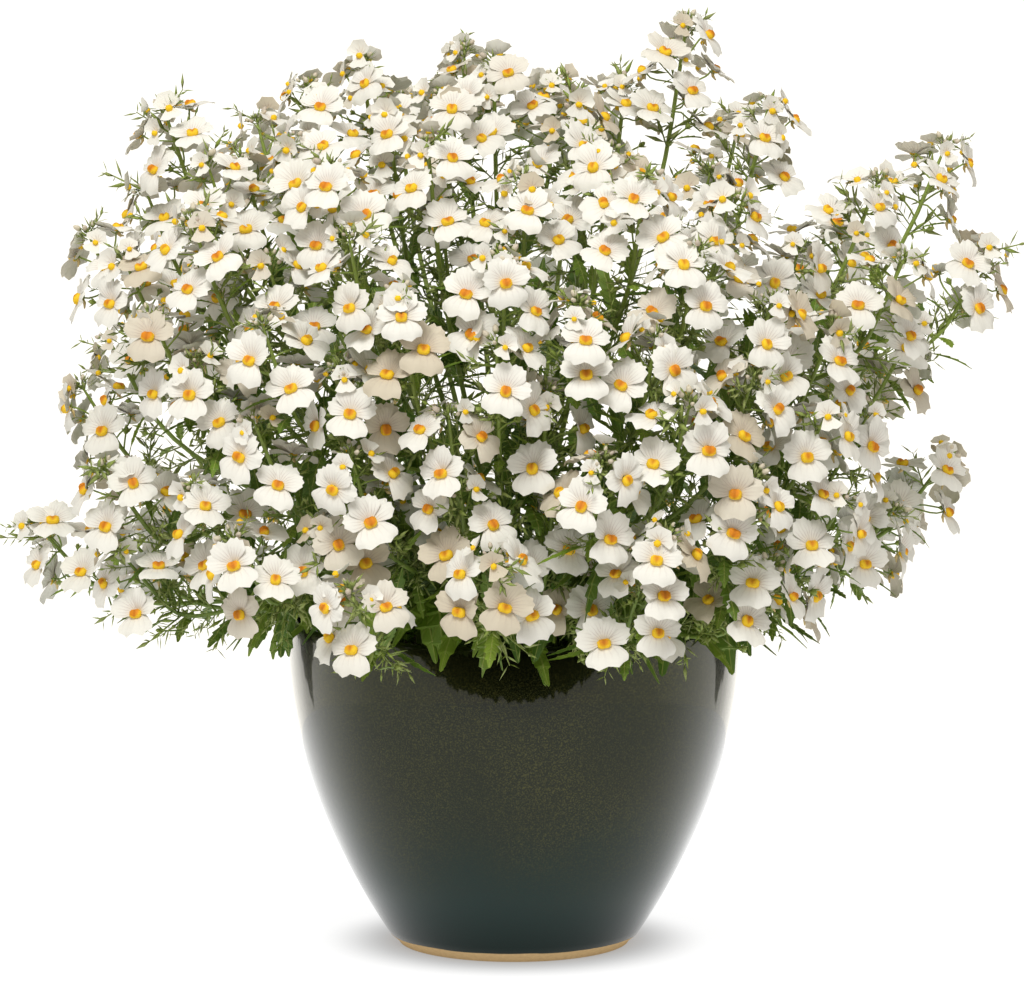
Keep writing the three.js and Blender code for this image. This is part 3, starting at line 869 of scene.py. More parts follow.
def lower_lip(variant):
    """The broad lower lip, narrow at the throat, notched in the middle and waved along its edge."""
    u, v = np.meshgrid(np.linspace(1, -1, 9), np.linspace(0, 1, 6) ** 0.85)
    phase = 1.7 * variant
    width = LIP_NECK + (LIP_HALF_WIDTH - LIP_NECK) * np.sin(np.minimum(v * 1.3, 1) * math.pi / 2)
    x = u * width * (1 - 0.1 * v ** 4)
    notch = 0.17 * np.exp(-(u / 0.2) ** 2) * v ** 2
    edge = 1 - 0.3 * np.abs(u) ** 2.4 * v - notch + 0.035 * np.cos(4 * math.pi * u) * v ** 2
    y = -LOBE_START - (LIP_REACH - LOBE_START) * v * edge
    z = -THROAT_DEPTH * 0.8 * (1 - v) ** 2 + 0.2 - (2.0 + 1.8 * math.sin(phase * 2)) * v ** 2
    z += 0.7 * v ** 2 * np.sin(6.5 * u + phase) - 1.6 * u ** 2 * v
    shape = Shape()
    shape.petal(u, v, [x, y, z], 1.0)
    return shape


def palate(variant):
    """The raised palate in the throat, with a groove between its two ridges."""
    shape = Shape()
    skew = math.sin(2.3 * variant)
    radii = np.array([2.8 + 0.3 * skew, 2.3 - 0.3 * skew, 2.3])
    shape.ball(np.array([0, -1.1, -0.6]), radii, 12, 5, dent=1.5, boxy=0.24 + 0.05 * skew)
    return shape


def young_flower(variant):
    """A small flower that has just opened: a short upper lip, a lower lip and a palate."""
    shape = Shape()
    phase = 1.9 * variant
    u, v = np.meshgrid(np.linspace(-1, 1, 9), np.linspace(0, 1, 3))
    turn = math.radians(YOUNG_SPREAD) * u
    edge = YOUNG_REACH - 0.9 * np.abs(np.cos(2 * math.pi * u)) - 0.8 * np.abs(u)
    reach = YOUNG_START + edge * v
    cup = (0.8 + 1.4 * math.sin(phase) + 0.4 * np.sin(5 * u + phase)) * v ** 2 - 1.0 * (1 - v)
    shape.petal(u, v, [reach * np.sin(turn), reach * np.cos(turn), cup])
    u, v = np.meshgrid(np.linspace(1, -1, 7), np.linspace(0, 1, 4))
    edge = YOUNG_REACH - 1.8 * np.abs(u) ** 2.4 - 0.8 * np.exp(-(u / 0.2) ** 2)
    reach = YOUNG_START + edge * v
    cup = (0.4 + 1.2 * math.cos(phase)) * v ** 2 - 1.0 * (1 - v)
    shape.petal(u, v, [u * (1.8 + 3.4 * v), -reach, cup], 1.0)
    shape.ball(np.array([0, -0.8, -0.3]), np.array([1.8, 1.5, 1.7]), 6, 3, kind=2.0)
    return shape


def sepal_ways(start):
    """The level directions of the sepals, the first at an angle in degrees."""
    return [level_way(turn) for turn in np.radians(np.arange(SEPALS) * 360 / SEPALS + start)]


def calyx():
    """Five pointed sepals behind a flower, and the spur that hangs between the lower two."""
    shape = Shape()
    foot = UP * (-THROAT_DEPTH - 0.6)
    for away in sepal_ways(18):
        shape.blade(foot, away + UP * 0.4, UP - away * 0.4, *SEPAL_SIZE)
    start = np.array([0, -0.6, -THROAT_DEPTH * 0.8])
    path = [start, start + [0, -1.6, -1.8], start + [0, -4.0, -2.4]]
    shape.tube(path, [1.1, 0.75, 0.35], 5, kind=1.0)
    return shape


def tuft(variant):
    """A burst of small hairy leaves at the top of a head, growing along Z."""
    shape = Shape()
    draws = Draws(40 + variant)
    for i in range(TUFT_LEAVES):
        lean = math.radians(6 + 84 * math.sqrt(i / TUFT_LEAVES))
        turn = math.radians(GOLDEN_ANGLE * i) + draws.jitter(0.3)
        away = level_way(turn)
        way = leaning(away, lean)
        foot = way * draws.between(1, 3) - UP * draws.between(0, 5)
        length = draws.between(4.5, 7.5)
        shape.blade(foot, way, UP - away * 0.3, length, draws.between(0.6, 1.0), draws.draw())
    return shape


def sprig(variant):
    """A short side shoot with pairs of narrow leaves, growing along Z."""
    shape = Shape()
    draws = Draws(80 + variant)
    tip = np.array([draws.jitter(3), draws.jitter(3), SPRIG_HEIGHT])
    shape.tube([UP * 0, tip * 0.5 + UP * 1.0, tip], [0.45, 0.4, 0.2], 3, kind=0.3)
    for i in range(SPRIG_PAIRS):
        for turn in (1.7 * i, 1.7 * i + math.pi):
            turn += draws.jitter(0.5)
            lean = draws.between(0.6, 1.2)
            away = level_way(turn)
            way = leaning(away, lean)
            length = draws.between(5, 10) * (1.15 - 0.1 * i)
            foot = tip * (0.2 + 0.19 * i)
            shape.blade(foot, way, UP - away * 0.5, length, length * 0.11, draws.draw())
    return shape


def buds(variant):
    """Closed flower buds round the top of a head."""
    shape = Shape()
    draws = Draws(60 + variant)
    for i in range(BUDS_PER_HEAD):
        lean = math.radians(draws.between(35, 85))
        turn = math.radians(GOLDEN_ANGLE * i) + draws.jitter(0.5)
        way = leaning(level_way(turn), lean)
        foot = way * draws.between(4, 6) - UP * draws.between(0, 4)
        radius = draws.between(0.9, 1.5)
        path = [foot, foot + way * radius, foot + way * radius * 2.4, foot + way * radius * 3.2]
        shape.tube(path, [0.5, radius, radius * 0.8, 0], 6, kind=draws.draw())
    return shape


def capsule(variant):
    """A seed capsule with the sepals that are left round it, growing along Z."""
    shape = Shape()
    shape.tube([UP * 0, UP * 1.4, UP * 3.2, UP * 4.2], [0.5, 1.4, 1.1, 0.3], 6, kind=0.2 * variant)
    for away in sepal_ways(0):
        shape.blade(UP * 0.2, away + UP * 1.1, away - UP * 0.9, *SPENT_SEPAL_SIZE, 0.5)
    return shape


def screen(red, green, blue):
    """The linear colour of a screen colour from 0 to 255."""
    shares = [value / 255 for value in (red, green, blue)]
    return tuple(s / 12.92 if s <= 0.04045 else ((s + 0.055) / 1.055) ** 2.4 for s in shares)


def colour(name, description, default):
    return FloatVectorProperty(
        name=name, description=description, default=default, subtype="COLOR", size=3, min=0, max=1,
    )


def number(name, description, default, **options):
    return FloatProperty(name=name, description=description, default=default, **options)


def distance(name, description, default):
    return number(name, description, default, subtype="DISTANCE", unit="LENGTH", min=0)


class NemesiaPotLooks(bpy.types.PropertyGroup):
    """Sizes and colours of the pot and its soil."""

    rim_radius: distance("Rim radius", "Half the pot's width at its rim", solid_pot[1].x)
    bare_height: distance("Bare foot", "Height of the unglazed band at the foot", 0.0048)
    glaze: colour("Glaze", "Colour of the glaze under its clear coat", screen(29, 33, 15))
    low_glaze: colour("Low glaze", "Colour of the glaze toward the foot", screen(2, 36, 31))
    speckle: colour("Speckle", "Colour of the light specks in the glaze", screen(84, 83, 40))
    clay: colour("Clay", "Colour of the unglazed foot", screen(238, 203, 148))
    soil: colour("Soil", "Colour of the potting soil", screen(48, 34, 24))


class NemesiaFlowerLooks(bpy.types.PropertyGroup):
    """Size and colours of the flowers."""

    size: number("Size", "Size of every flower", 1.08, min=0.5, max=2)
    petal: colour("Petal", "Colour of a fresh petal", (0.9, 0.88, 0.8))
    aged: colour("Aged petal", "Colour of a petal that fades", screen(206, 192, 164))
    vein: colour("Vein", "Colour of the fine lines on a petal", screen(164, 140, 138))
    palate: colour("Palate", "Colour of the raised palate", screen(240, 148, 12))
    palate_edge: colour("Palate edge", "Colour of the palate's lower edge", screen(252, 206, 30))
    spur: colour("Spur", "Colour of the spur behind a flower", screen(214, 190, 130))
    bud: colour("Bud", "Colour of a closed bud", screen(226, 216, 190))


class NemesiaFoliageLooks(bpy.types.PropertyGroup):
    """Sizes and colours of stems and leaves."""

    leaf: colour("Leaf", "Colour of a leaf in full light", screen(134, 160, 50))
    # The darkest green: the own tone of darker leaves, and painted shade on low leaves and on
    # stems.
    dark_and_shaded_leaf: colour("Deep leaf", "Colour of the darkest leaves", screen(72, 106, 28))
    rib: colour("Rib", "Colour of a leaf's middle rib", screen(166, 176, 92))
    stem: colour("Stem", "Colour of the stems", screen(140, 162, 66))
    tuft: colour("Tuft", "Colour of the young leaves at each head's top", screen(150, 160, 98))
    stem_radius: distance("Stem radius", "Half a stem's width at the soil", 0.0015)
    stalk_radius: distance("Stalk radius", "Half the width of a flower's stalk", 0.00045)


class NemesiaStageLooks(bpy.types.PropertyGroup):
    """Floor, light and background."""

    floor: colour("Floor", "Colour of the floor", (0.16, 0.16, 0.16))
    key_power: number("Key light", "Power of the front light", 38, unit="POWER")
    fill: number("Fill", "Strength of the light from all round", 0.56, min=0)


def matte(base, roughness, normal):
    return {"Base Color": base, "Roughness": roughness, "Normal": normal}


# Colours that a material mixes in, beside those of its looks.
DARK_GLAZE = (0.006, 0.008, 0.007)
DARK_CLAY = (0.4, 0.26, 0.14)
DRY_SOIL = (0.055, 0.036, 0.022)
# Deep orange for the palate's random mottle and for the painted shade in its groove.
PALATE_MOTTLE_AND_SHADE = (0.5, 0.13, 0.0)
WORN_FLOOR = (0.1, 0.1, 0.1)


def glaze_sockets(graph):
    looks = bpy.context.scene.nemesia_pot
    height = graph.parts(graph.place)[2]
    drift = graph.noise(22.0, 3.0)
    low = 1 - graph.rise(height + (drift - 0.5) * 0.05, 0.02, 0.1)
    body = graph.mix(low, looks.glaze, looks.low_glaze)
    cloud = graph.rise(graph.noise(14.0, 3.0), 0.4, 0.65)
    grain = graph.noise(1300.0, 2.0)
    fine = graph.noise(2600.0, 1.0)
    speckled = graph.rise(grain, 0.42, 0.7) * (0.35 + cloud * 0.35) * (1 - low)
    body = graph.mix(speckled, body, looks.speckle)
    body = graph.mix(graph.rise(graph.noise(1700.0), 0.55, 0.7) * 0.3, body, looks.low_glaze)
    body = graph.mix(graph.rise(fine, 0.45, 0.7) * 0.55, body, DARK_GLAZE)
    edge = looks.bare_height + (graph.noise(60.0) - 0.5) * 0.0012
    glazed = graph.rise(height - edge, 0.0, 0.0004)
    chalk = graph.mix(graph.noise(500.0) * 0.5, looks.clay, DARK_CLAY)
    relief = grain * 0.5 + graph.noise(160.0, 2.0) * 0.5
    return {
        "Base Color": graph.mix(glazed, chalk, body),
        "Metallic": glazed * 0.9,
        "Roughness": 0.85 - glazed * 0.6,
        "Specular IOR Level": 0.0,
        "Coat Weight": glazed,
        "Coat Roughness": 0.03,
        "Coat IOR": 1.36,
        "Normal": graph.bump(relief, 0.00012, 0.5),
    }


def soil_sockets(graph):
    looks = bpy.context.scene.nemesia_pot
    crumbs = graph.noise(220.0, 4.0)
    shade = graph.mix(graph.rise(crumbs, 0.35, 0.7), looks.soil, DRY_SOIL)
    return matte(shade, 0.95, graph.bump(crumbs, 0.003))


def petal_sockets(graph):
    looks = bpy.context.scene.nemesia_flower
    across, along, lower = graph.marks()
    tint = graph.attribute("tint")
    lines = graph.math("COSINE", across * 19.0 + graph.noise(400.0) * 3.0)
    fade = 1 - graph.rise(along, 0.1, 0.85)
    # Vein lines run from the throat. The even tint toward the throat is partly the flower's own
    # marking and partly painted shade in the throat.
    veins = (graph.rise(lines, 0.4, 1.0) * fade * 0.5 + fade * fade * 0.2) * (1 - lower * 0.6)
    petal = graph.mix(graph.rise(tint, 0.8, 1.0) * 0.8, looks.petal, looks.aged)
    veined = graph.mix(veins * 0.75, petal, looks.vein)
    throat = graph.mix(graph.rise(lower, 1.4, 1.6), veined, looks.palate_edge)
    relief = graph.bump(graph.noise(700.0, 3.0) + lines * 0.15, 0.0002, 0.6)
    return {**matte(throat, 0.62, relief), "Specular IOR Level": 0.3}


def palate_sockets(graph):
    looks = bpy.context.scene.nemesia_flower
    across, along, height = graph.marks()
    ripe = graph.math("FRACT", graph.attribute("tint") * 7.3)
    side = graph.math("ABSOLUTE", across)
    share = graph.rise(height + along * 0.35 - side * 0.3 + ripe * 0.7, 0.45, 1.25)
    velvet = graph.noise(1500.0)
    # Toward the groove between its two ridges the palate darkens: painted shade in the crease.
    groove = 1 - graph.rise(side, 0.05, 0.4)
    deep = graph.mix(velvet * 0.35 + groove * 0.4, looks.palate, PALATE_MOTTLE_AND_SHADE)
    return matte(graph.mix(share, looks.palate_edge, deep), 0.7, graph.bump(velvet, 0.0002))


def calyx_sockets(graph):
    looks = bpy.context.scene.nemesia_foliage
    kind = graph.marks()[0]
    spur = bpy.context.scene.nemesia_flower.spur
    hairs = graph.noise(900.0)
    sepal = graph.mix(hairs * 0.6, looks.stem, looks.tuft)
    return matte(graph.mix(kind, sepal, spur), 0.6, graph.bump(hairs, 0.0003))


def stem_sockets(graph):
    looks = bpy.context.scene.nemesia_foliage
    hairs = graph.noise(700.0, 3.0)
    height = graph.parts(graph.place)[2]
    # Stems darken toward the soil: painted shade inside the plant.
    deep = 1 - graph.rise(height, 0.15, 0.33)
    fresh = graph.mix(graph.rise(hairs, 0.4, 0.7) * 0.4, looks.stem, looks.tuft)
    return matte(graph.mix(deep * 0.5, fresh, looks.dark_and_shaded_leaf), 0.5, graph.bump(hairs, 0.0003))


def leaf_sockets(graph):
    looks = bpy.context.scene.nemesia_foliage
    side = graph.math("ABSOLUTE", graph.attribute("across"))
    along = graph.attribute("along")
    tint = graph.attribute("tint")
    mottle = graph.noise(120.0, 3.0)
    # A leaf's tint mixes its random tone with painted shade on leaves low on their stem.
    blade = graph.mix(graph.rise(tint + mottle * 0.4, 0.2, 1.2), looks.dark_and_shaded_leaf, looks.leaf)
    veins = graph.rise(graph.math("SINE", along * 62.0 - side * 5.0), 0.6, 1.0)
    rib = 1 - graph.rise(side, 0.02, 0.14)
    marked = graph.mix(rib * 0.7 + veins * 0.14, blade, looks.rib)
    relief = graph.bump(mottle * 0.6 - veins * 0.5, 0.0005)
    return {**matte(marked, 0.42 + mottle * 0.2, relief), "Specular IOR Level": 0.4}


def tuft_sockets(graph):
    looks = bpy.context.scene.nemesia_foliage
    kind, along, _ = graph.marks()
    hairs = graph.noise(1100.0, 2.0)
    patch = graph.noise(25.0)
    pale = graph.rise(hairs * 0.5 + kind * 0.3 + patch * 0.5, 0.3, 0.9)
    green = graph.mix(pale, looks.leaf, looks.tuft)
    return matte(graph.mix(along * 0.35, green, looks.rib), 0.6, graph.bump(hairs, 0.0004))


def bud_sockets(graph):
    looks = bpy.context.scene.nemesia_flower
    kind, along, _ = graph.marks()
    bud = graph.mix(kind * 0.5, looks.bud, looks.vein)
    green = bpy.context.scene.nemesia_foliage.tuft
    opened = 1 - graph.rise(along, 0.1, 0.45)
    return matte(graph.mix(opened, bud, green), 0.6, graph.bump(graph.noise(900.0), 0.0003))


def floor_sockets(graph):
    looks = bpy.context.scene.nemesia_stage
    place = graph.place
    grain = graph.noise(40.0)
    away = graph.node("ShaderNodeVectorMath", {"operation": "LENGTH"}, {0: place}).out("Value")
    # The floor glows. Its glow is dimmed close to the pot, a painted contact shadow, and raised
    # behind the pot, painted light.
    far = graph.rise(away, FLOOR_SHADOW_EDGE, FLOOR_SHADOW_EDGE * 2)
    behind = graph.rise(graph.parts(place)[1], *FLOOR_BACK) * far
    outside_painted_shadow = graph.rise(away, FLOOR_SHADOW_CORE, FLOOR_SHADOW_EDGE)
    glow = FLOOR_GLOWS[0] + outside_painted_shadow * FLOOR_GLOWS[1] + behind * FLOOR_GLOWS[2]
    return {
        "Base Color": graph.mix(grain * 0.05, looks.floor, WORN_FLOOR),
        "Roughness": 0.9,
        "Specular IOR Level": 0.0,
        "Emission Color": glow,
        "Emission Strength": 1.0,
    }


# The pot's outline, as in its solid, in millimetres.
FOOT_RADIUS = 59.5
FOOT_CHAMFER = 1.8
BELLY_POWER = 2.05
WALL = 6
RIM_ROUND = 2
FLOOR_THICKNESS = 8
POT_STEPS = 44
POT_INSIDE_STEPS = 20
POT_SIDES = 144
RIM_ARC = np.radians(np.linspace(20, 160, 7))
SOIL_HEIGHT = 144
SOIL_GAP = 0.3
SOIL_STEPS = 12
SOIL_SIDES = 96
SOIL_RINGS = 26
SOIL_LEVEL_EDGE = 3
SOIL_WAVE = 2.5
SOIL_WAVE_WIDTHS = [13, 17]
SOIL_CRUMB = 1.6


def pot_radius(height, rim):
    return FOOT_RADIUS + (rim - FOOT_RADIUS) * (1 - (1 - height / POT_HEIGHT) ** BELLY_POWER)


def lathe(name, outline, sides, lift=None):
    """A closed turned form, its outline from axis to axis. A function may lift its points."""
    shape = Shape()
    turns = round_turns(sides)
    rings = []
    for radius, height in outline:
        used = turns if radius > 0 else turns[:1]
        places = np.stack([radius * np.cos(used), radius * np.sin(used), 0 * used + height], 1)
        if lift:
            places[:, 2] += [lift(*place) for place in places]
        rings.append(shape.add(list(places), [(0, 0, 0)] * len(places)))
    shape.rings(rings)
    return shape.mesh(name)


class NEMESIA_OT_pot(bpy.types.Operator):
    """Turn the glazed pot with its rounded rim and bare foot"""

    bl_idname = "nemesia.pot"
    bl_label = "Glazed pot"

    def execute(self, context):
        looks = context.scene.nemesia_pot
        rim = looks.rim_radius / MM
        bare = looks.bare_height / MM
        foot = [(FOOT_RADIUS - FOOT_CHAMFER, 0.0), (FOOT_RADIUS - FOOT_CHAMFER / 2, bare * 0.3)]
        outside = [(pot_radius(h, rim), h) for h in np.linspace(bare, POT_HEIGHT, POT_STEPS)]
        half = WALL / 2
        top = [
            (rim - half + half * math.cos(turn), POT_HEIGHT + RIM_ROUND * math.sin(turn))
            for turn in RIM_ARC
        ]
        heights = np.linspace(POT_HEIGHT, FLOOR_THICKNESS, POT_INSIDE_STEPS)
        inside = [(pot_radius(h, rim) - WALL, h) for h in heights]
        outline = [(0.0, 0.0), *foot, *outside, *top, *inside, (0.0, FLOOR_THICKNESS)]
        mesh = lathe("glazed_pot", outline, POT_SIDES)
        piece = new_piece("glazed_pot", mesh, new_material("glaze", glaze_sockets))
        settle(piece, ["pot"])
        return {"FINISHED"}


class NEMESIA_OT_soil(bpy.types.Operator):
    """Fill the pot with crumbly soil"""

    bl_idname = "nemesia.soil"
    bl_label = "Potting soil"

    def execute(self, context):
        rim = context.scene.nemesia_pot.rim_radius / MM
        heights = np.linspace(FLOOR_THICKNESS, SOIL_HEIGHT - SOIL_GAP, SOIL_STEPS)
        side = [(pot_radius(h, rim) - WALL - SOIL_GAP, h + SOIL_GAP) for h in heights]
        edge = side[-1][0]
        top = [(edge * (1 - i / SOIL_RINGS), SOIL_HEIGHT) for i in range(1, SOIL_RINGS)]
        draws = Draws(80)

        def lift(x, y, height):
            if height < SOIL_HEIGHT or math.hypot(x, y) > edge - SOIL_LEVEL_EDGE:
                return 0
            wide, deep = SOIL_WAVE_WIDTHS
            return SOIL_WAVE * math.sin(x / wide) * math.cos(y / deep) + draws.jitter(SOIL_CRUMB)

        outline = [(0.0, side[0][1]), *side, *top, (0.0, SOIL_HEIGHT)]
        mesh = lathe("potting_soil", outline, SOIL_SIDES, lift)
        piece = new_piece("potting_soil", mesh, new_material("soil", soil_sockets))
        settle(piece, ["soil"])
        return {"FINISHED"}


def all_heads():
    return [head for stem in plants for head in stem.heads]


def all_blooms():
    return [bloom for head in all_heads() for bloom in head.placed]


def bloom_stands():
    """Each flower with its turn, a little off its solid's, its size and how far it has faded."""
    draws = Draws(1)
    for bloom in all_blooms():
        turn = turn_of(bloom.right, bloom.top, bloom.facing)
        raised = np.interp(bloom.centre[2], RAISED_FROM, [0, RAISED])
        nod = Quaternion((1, 0, 0), draws.jitter(NOD) - raised)
        nod = nod @ Quaternion((0, 1, 0), draws.jitter(NOD))
        size = bloom.size * np.interp(bloom.centre[2], RAISED_FROM, [1, SMALLER])
        yield bloom, turn @ nod, size, draws.draw()


def bloom_spots(seed, variants):
    """One spot for each flower."""
    draws = Draws(seed)
    spots = Spots()
    for bloom, turn, size, tint in bloom_stands():
        spots.add(bloom.centre, turn, size, draws.pick(variants), tint)
    return spots


def lobe_spots(seed, turns, forward):
    """A spot for each of some lobes of every flower's upper lip."""
    draws = Draws(seed)
    spots = Spots()
    for bloom, turn, size, tint in bloom_stands():
        place = bloom.centre + bloom.facing * forward
        back = draws.jitter(UPPER_LEAN)
        for angle in turns:
            spin = Quaternion((0, 0, 1), math.radians(angle + draws.jitter(LOBE_TURN_JITTER)))
            lean = Quaternion((1, 0, 0), back + draws.jitter(LOBE_LEAN_JITTER))
            scale = size * (1 + draws.jitter(LOBE_SIZE_JITTER))
            spots.add(place, turn @ spin @ lean, scale, draws.pick(LOBE_VARIANTS), tint)
    return spots


def petal_material():
    return bpy.data.materials.get("petal") or new_material("petal", petal_sockets)


class NEMESIA_OT_upper_petals(bpy.types.Operator):
    """Set the four upper lobes of every flower, the two at the top before the two at the sides"""

    bl_idname = "nemesia.upper_petals"
    bl_label = "Upper petals"

    def execute(self, context):
        lobes = [upper_lobe(i) for i in range(LOBE_VARIANTS)]
        top = lobe_spots(9, TOP_LOBES, TOP_LOBES_FORWARD)
        scatter_blooms("top_petals", top, lobes, petal_material())
        scatter_blooms("side_petals", lobe_spots(10, SIDE_LOBES, 0.0), lobes, petal_material())
        return {"FINISHED"}


class NEMESIA_OT_lower_lips(bpy.types.Operator):
    """Set the broad lower lip of every flower"""

    bl_idname = "nemesia.lower_lips"
    bl_label = "Lower lips"

    def execute(self, context):
        lips = [lower_lip(i) for i in range(LIP_VARIANTS)]
        scatter_blooms("lower_lips", bloom_spots(2, LIP_VARIANTS), lips, petal_material())
        return {"FINISHED"}


class NEMESIA_OT_palates(bpy.types.Operator):
    """Set the orange palate in the throat of every flower"""

    bl_idname = "nemesia.palates"
    bl_label = "Palates"

    def execute(self, context):
        material = new_material("palate", palate_sockets)
        palates = [palate(i) for i in range(PALATE_VARIANTS)]
        scatter_blooms("palates", bloom_spots(3, PALATE_VARIANTS), palates, material)
        return {"FINISHED"}


class NEMESIA_OT_calyces(bpy.types.Operator):
    """Set the sepals and the spur behind every flower"""

    bl_idname = "nemesia.calyces"
    bl_label = "Sepals and spurs"

    def execute(self, context):
        material = new_material("calyx", calyx_sockets)
        scatter_blooms("calyces", bloom_spots(4, 1), [calyx()], material)
        return {"FINISHED"}


# Stems, leaves and side shoots: lengths in millimetres, turns in degrees, rolls in radians.
CURVE_STEPS = 16
STALK_STEPS = 6
STEM_SIDES = 6
STEM_TAPER = 0.7
HEAD_STOPS = [18, 8, 0]
HEAD_TAPER = [0.65, 0.5, 0.3]
ROOT_DEPTH = 7
SPENT_PER_HEAD = 4
SPENT_TURN = 70
SPENT_START = 6
SPENT_DROP = 9
SPENT_STALK = 12
SPENT_ARCH = 0.6
PETIOLE = 0.2
PETIOLE_WIDTHS = [0.7, 0.6]
LEAF_TIP_WIDTH = 0.05
TOOTH_DEPTH = 0.34
TOOTH_PARTS = [[0.05, 1 - TOOTH_DEPTH], [0.9, 1.0]]
LEAF_FOLD = 0.22
LEAF_THICKNESS = 0.1
BIG_LEAF_TEETH = 8
SMALL_LEAF_TEETH = 5
LEAF_PAIRS = 8
LEAF_LENGTHS = [22, 36]
LEAF_WIDTHS = [3.0, 4.6]
LEAF_ARCH = 0.16
LEAF_ABOVE_SOIL = 12
EXTRA_LEAVES = 60
EXTRA_SLANTS = [14, 50]
EXTRA_START = [72, 150]
EXTRA_ARCH = 114
EXTRA_ARCH_HEIGHTS = [200, 218]
EXTRA_REACHES = [120, 142]
EXTRA_HEIGHTS = [146, 180]
EXTRA_WIDTHS = [8.5, 12.5]
BLOOM_CLEARANCE = 9
SPRIGS_PER_STEM = 16
SPRIG_VARIANTS = 4
SPRIG_SPAN = [0.45, 0.75]
SPRIG_TOP = 1.2
SPRIG_DROP = 200
HEAD_VARIANTS = 3
CAPSULE_VARIANTS = 2
ANY_ROLL = [0, 6]


def spent_stalks(seed):
    """Where the stalks of spent flowers run, below the flowers of each head."""
    draws = Draws(seed)
    for head in all_heads():
        for i in range(SPENT_PER_HEAD):
            away = head.around(GOLDEN_ANGLE * i + SPENT_TURN)
            start = head.foot - head.axis * (SPENT_DROP * i - SPENT_START)
            way = unit(away + head.axis * draws.between(0.5, 0.9))
            end = start + way * SPENT_STALK * draws.between(0.7, 1.2)
            yield start, way, end, draws.draw()


class NEMESIA_OT_stems(bpy.types.Operator):
    """Draw the stems, and the stalks of the flowers"""

    bl_idname = "nemesia.stems"
    bl_label = "Stems and stalks"

    def execute(self, context):
        looks = context.scene.nemesia_foliage
        thick = looks.stem_radius / MM
        slim = looks.stalk_radius / MM
        lines = Lines()
        shares = np.linspace(0, 1, CURVE_STEPS)
        for stem in plants:
            for i, (curve, head) in enumerate(zip(stem.curves, stem.heads)):
                points = [curve.point(share) for share in shares]
                points += [head.down(way) for way in HEAD_STOPS]
                ends = [thick if i == 0 else thick * STEM_TAPER, thick * STEM_TAPER]
                widths = list(np.interp(shares, [0, 1], ends))
                widths += [thick * taper for taper in HEAD_TAPER]
                if i == 0:
                    points.insert(0, points[0] - UP * ROOT_DEPTH)
                    widths.insert(0, thick)
                lines.add(points, widths, 0.0)
        for bloom, turn, _, _ in bloom_stands():
            facing = np.array(turn @ Vector((0, 0, 1)))
            throat = bloom.centre - facing * THROAT_DEPTH
            curve = bend(bloom.root, unit(bloom.away + UP * 0.5), throat, facing)
            points = [curve.point(share) for share in np.linspace(0, 1, STALK_STEPS)]
            lines.add(points, [slim] * STALK_STEPS, 1.0)
        for start, _, end, _ in spent_stalks(5):
            lines.add([start, (start + end) / 2 + UP * SPENT_ARCH, end], [slim] * 3, 1.0)
        inputs = {"Sides": STEM_SIDES, "Material": new_material("stem", stem_sockets)}
        grow("stems", lines.mesh("stem_lines"), sweep_tree("swept_stem", False), inputs)
        return {"FINISHED"}


def add_blade(lines, curve, width, teeth, tint):
    """A toothed blade on its stalk: each tooth widens toward the tip, then drops back."""
    shares = [0.0, PETIOLE / 2]
    widths = list(PETIOLE_WIDTHS)
    for tooth in range(teeth):
        for part, depth in TOOTH_PARTS:
            place = (tooth + part) / teeth
            shares.append(PETIOLE + (1 - PETIOLE) * place)
            widths.append(max(0.5, width * depth * math.sin(math.pi * place ** 0.8) ** 0.6))
    points = [curve.point(share) for share in shares + [1.0]]
    lines.add(points, widths + [LEAF_TIP_WIDTH], tint)


def is_clear(places, centres):
    gaps = [np.min(np.sum((centres - place) ** 2, 1)) for place in places]
    return min(gaps) > BLOOM_CLEARANCE ** 2


def stem_leaves(draws, centres):
    """The solids' leaves, and pairs of smaller ones up every stem where no flower stands."""
    for stem in plants:
        for curve, width in stem.leaves:
            yield curve, width, BIG_LEAF_TEETH, draws.between(0.4, 0.9)
        for curve in stem.curves:
            for pair in range(LEAF_PAIRS):
                share = (pair + 0.7) / LEAF_PAIRS
                along = curve.along(share)
                across = unit(np.cross(along, [math.cos(pair * 1.6), math.sin(pair * 1.6), 0.2]))
                start = curve.point(share)
                for away in (across, -across):
                    length = draws.between(*LEAF_LENGTHS) * (1.3 - 0.5 * share)
                    end = start + unit(away + along * draws.between(0.1, 0.9)) * length
                    middle = (start + end) / 2
                    above = end[2] > SOIL_HEIGHT + LEAF_ABOVE_SOIL
                    if above and is_clear([middle, end], centres):
                        arch = middle + along * length * LEAF_ARCH
                        # Leaves low on a stem get a darker tint: painted shade inside the plant,
                        # over a random tone.
                        tint = draws.between(0.0, 0.45) + share * 0.4
                        width = draws.between(*LEAF_WIDTHS) * (1.5 - 0.8 * share)
                        yield Bezier(start, arch, end), width, SMALL_LEAF_TEETH, tint


def rim_leaves(draws, centres):
    """More broad leaves round the rim, where no flower stands."""
    for i in range(EXTRA_LEAVES):
        away = level_way(2 * math.pi * (i + draws.jitter(0.35)) / EXTRA_LEAVES)
        beside = np.cross(UP, away)
        slant = draws.between(*EXTRA_SLANTS) * draws.sign()
        start = away * EXTRA_START[0] + UP * EXTRA_START[1]
        arch = away * EXTRA_ARCH + UP * draws.between(*EXTRA_ARCH_HEIGHTS) + beside * slant * 0.3
        end = away * draws.between(*EXTRA_REACHES) + beside * slant
        end = end + UP * draws.between(*EXTRA_HEIGHTS)
        if is_clear([end], centres):
            width = draws.between(*EXTRA_WIDTHS)
            yield Bezier(start, arch, end), width, BIG_LEAF_TEETH, draws.between(0.1, 0.6)


